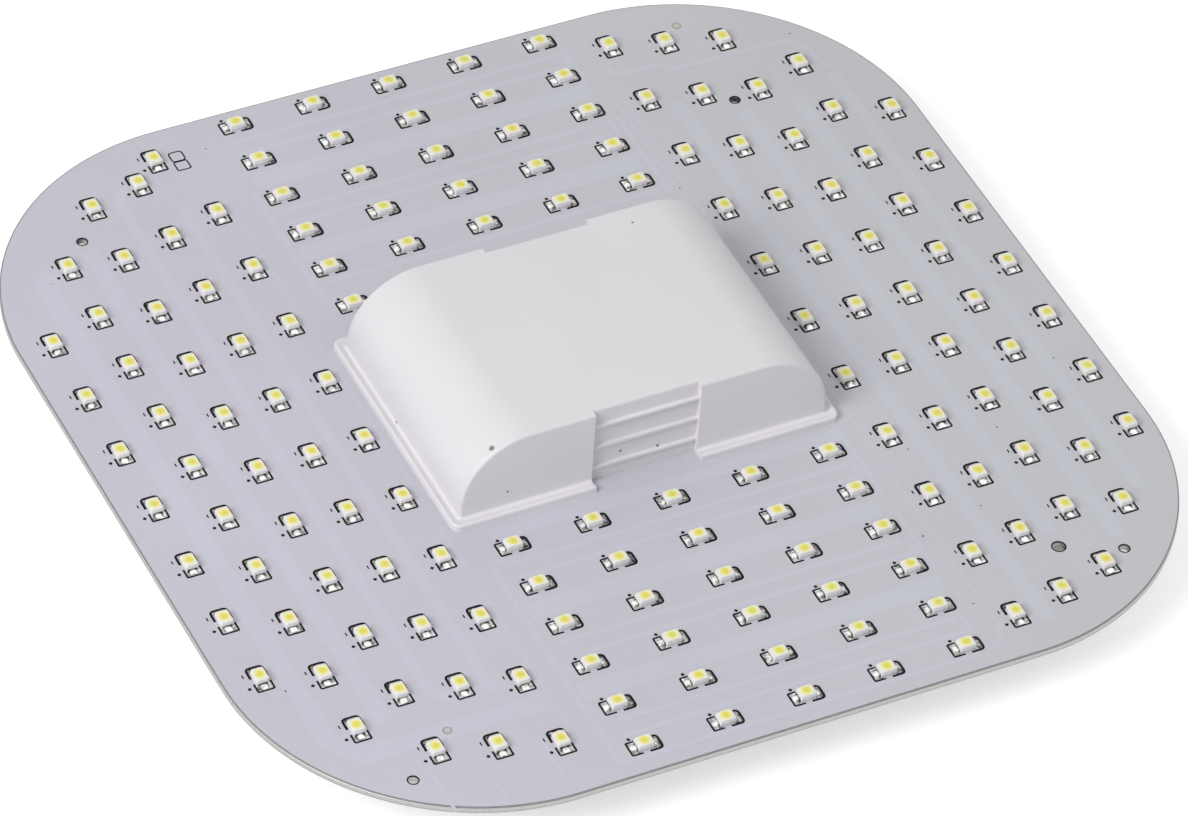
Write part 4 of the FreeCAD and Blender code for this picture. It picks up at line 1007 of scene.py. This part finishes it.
def dress_nodes():
    wear("rear_base", HOUSING)
    wear("contact_pins", PIN_BRASS)
    wear("driver_screws", SCREW_STEEL)
    wear("driver_board", tinted("driver_laminate", (0.42, 0.33, 0.14), 0.45, 0.08, 0.3, grain=0.2))
    sleeve = tinted("can_sleeve", (0.02, 0.025, 0.035), 0.3, 0.15, 0.4)
    wear("input_capacitor", sleeve)
    wear("output_capacitor", sleeve)
    wear("film_capacitor", tinted("film_case", (0.6, 0.36, 0.03), 0.4, 0.08, 0.4))
    wear("transformer_core", tinted("ferrite", (0.045, 0.045, 0.045), 0.6, 0.2, 0.8, grain=0.5))
    wear("transformer_bobbin", tinted("bobbin", (0.03, 0.028, 0.025), 0.45, 0.1, 0.5))
    wear("transformer_winding", tinted("winding_tape", (0.66, 0.45, 0.04), 0.35, 0.1, 0.5))
    black = tinted("package_black", (0.02, 0.02, 0.02), 0.5, 0.2, 1.0, grain=0.3)
    for node in ("bridge_rectifier", "control_chip", "output_diode"):
        wear(node, black)
    wear("fuse_resistor", tinted("resistor_coat", (0.06, 0.14, 0.08), 0.5, 0.1, 0.6, grain=0.3))
    wear("surge_absorber", tinted("absorber_coat", (0.02, 0.07, 0.32), 0.3, 0.1, 0.6))
    wear("filter_choke", tinted("choke_sleeve", (0.025, 0.025, 0.025), 0.4, 0.15, 0.5))
    wear("output_lead_positive", tinted("lead_red", (0.4, 0.02, 0.015), 0.4, 0.08, 0.6))
    wear("output_lead_negative", tinted("lead_black", (0.02, 0.02, 0.02), 0.4, 0.1, 0.6))


make_board()
make_gaps()
make_chips()
make_board_marks()
make_housing()
make_cover_screws()
dress_nodes()


# Floor, world and lamps. The floor and the world are white to the camera and dimmer as light. The floor
# glows outside a rounded square about the lamp, so that only a soft shadow is left beside the board

FLOOR_HALF = 4.0  # metres
GLOW_MIDDLE = (3.2, 5.8, 0.0)
GLOW_HALF = (50.0, 50.0, 0.0)
GLOW_NEAR, GLOW_FAR = 25, 46
GLOW = 0.52
WORLD_LIGHT = 0.5


def seen_directly(tree):
    # One where the ray comes from the camera, a reflection or a pane, else zero
    rays = tree.nodes.new("ShaderNodeLightPath")
    previous = rays.outputs["Is Camera Ray"]
    for name in ("Is Glossy Ray", "Is Transmission Ray"):
        most = tree.nodes.new("ShaderNodeMath")
        most.operation = "MAXIMUM"
        tree.links.new(previous, most.inputs[0])
        tree.links.new(rays.outputs[name], most.inputs[1])
        previous = most.outputs[0]
    return previous


def make_stage():
    mesh = bpy.data.meshes.new("floor")
    corners = [(x * FLOOR_HALF, y * FLOOR_HALF, 0) for x, y in ((-1, -1), (1, -1), (1, 1), (-1, 1))]
    mesh.from_pydata(corners, [], [(0, 1, 2, 3)])
    floor = bpy.data.objects.new("floor", mesh)
    bpy.context.scene.collection.objects.link(floor)
    shader = Shader("floor", (0.8, 0.8, 0.8), 0.9, 0.0, 0.0)
    # Distance from the straight-sided square within the rounded one
    place = shader.coordinates
    for operation, second in (("SUBTRACT", GLOW_MIDDLE), ("ABSOLUTE", None), ("SUBTRACT", GLOW_HALF),
                              ("MAXIMUM", (0.0, 0.0, 0.0)), ("LENGTH", None)):
        made = shader.node("ShaderNodeVectorMath", operation=operation)
        shader.link(place, made.inputs[0])
        if second:
            made.inputs[1].default_value = Vector(second) * MM
        place = made.outputs["Value" if operation == "LENGTH" else "Vector"]
    outside = shader.span(place, GLOW_NEAR * MM, GLOW_FAR * MM, 0.0, GLOW)
    strength = shader.combined("MULTIPLY", seen_directly(shader.tree), outside)
    glow = shader.node("ShaderNodeEmission")
    glow.inputs["Color"].default_value = (1, 1, 1, 1)
    shader.link(strength, glow.inputs["Strength"])
    both = shader.node("ShaderNodeAddShader")
    shader.link(shader.main.outputs[0], both.inputs[0])
    shader.link(glow.outputs[0], both.inputs[1])
    shader.link(both.outputs[0], shader.tree.nodes["Material Output"].inputs["Surface"])
    mesh.materials.append(shader.material)


def make_world():
    world = bpy.data.worlds.new("world")
    bpy.context.scene.world = world
    world.use_nodes = True
    tree = world.node_tree
    background = tree.nodes["Background"]
    background.inputs["Color"].default_value = (1, 1, 1, 1)
    level = tree.nodes.new("ShaderNodeMapRange")
    level.inputs["To Min"].default_value = WORLD_LIGHT
    level.inputs["To Max"].default_value = 1.0
    tree.links.new(seen_directly(tree), level.inputs["Value"])
    tree.links.new(level.outputs[0], background.inputs["Strength"])


def make_lamp(name, place, size, power):
    # A round lamp that faces the origin; place and size in metres, power in watts
    data = bpy.data.lights.new(name, "AREA")
    data.shape = "DISK"
    data.size = size
    data.energy = power
    lamp = bpy.data.objects.new(name, data)
    bpy.context.scene.collection.objects.link(lamp)
    place = Vector(place)
    lamp.matrix_world = Matrix.Translation(place) @ (-place).to_track_quat("-Z", "Y").to_matrix().to_4x4()


make_stage()
make_world()
make_lamp("key", (-1.0, -0.33, 0.92), 0.75, 11.4)
make_lamp("fill", (0.9, -0.3, 0.9), 0.8, 1.5)
bpy.context.scene.view_settings.view_transform = "Standard"
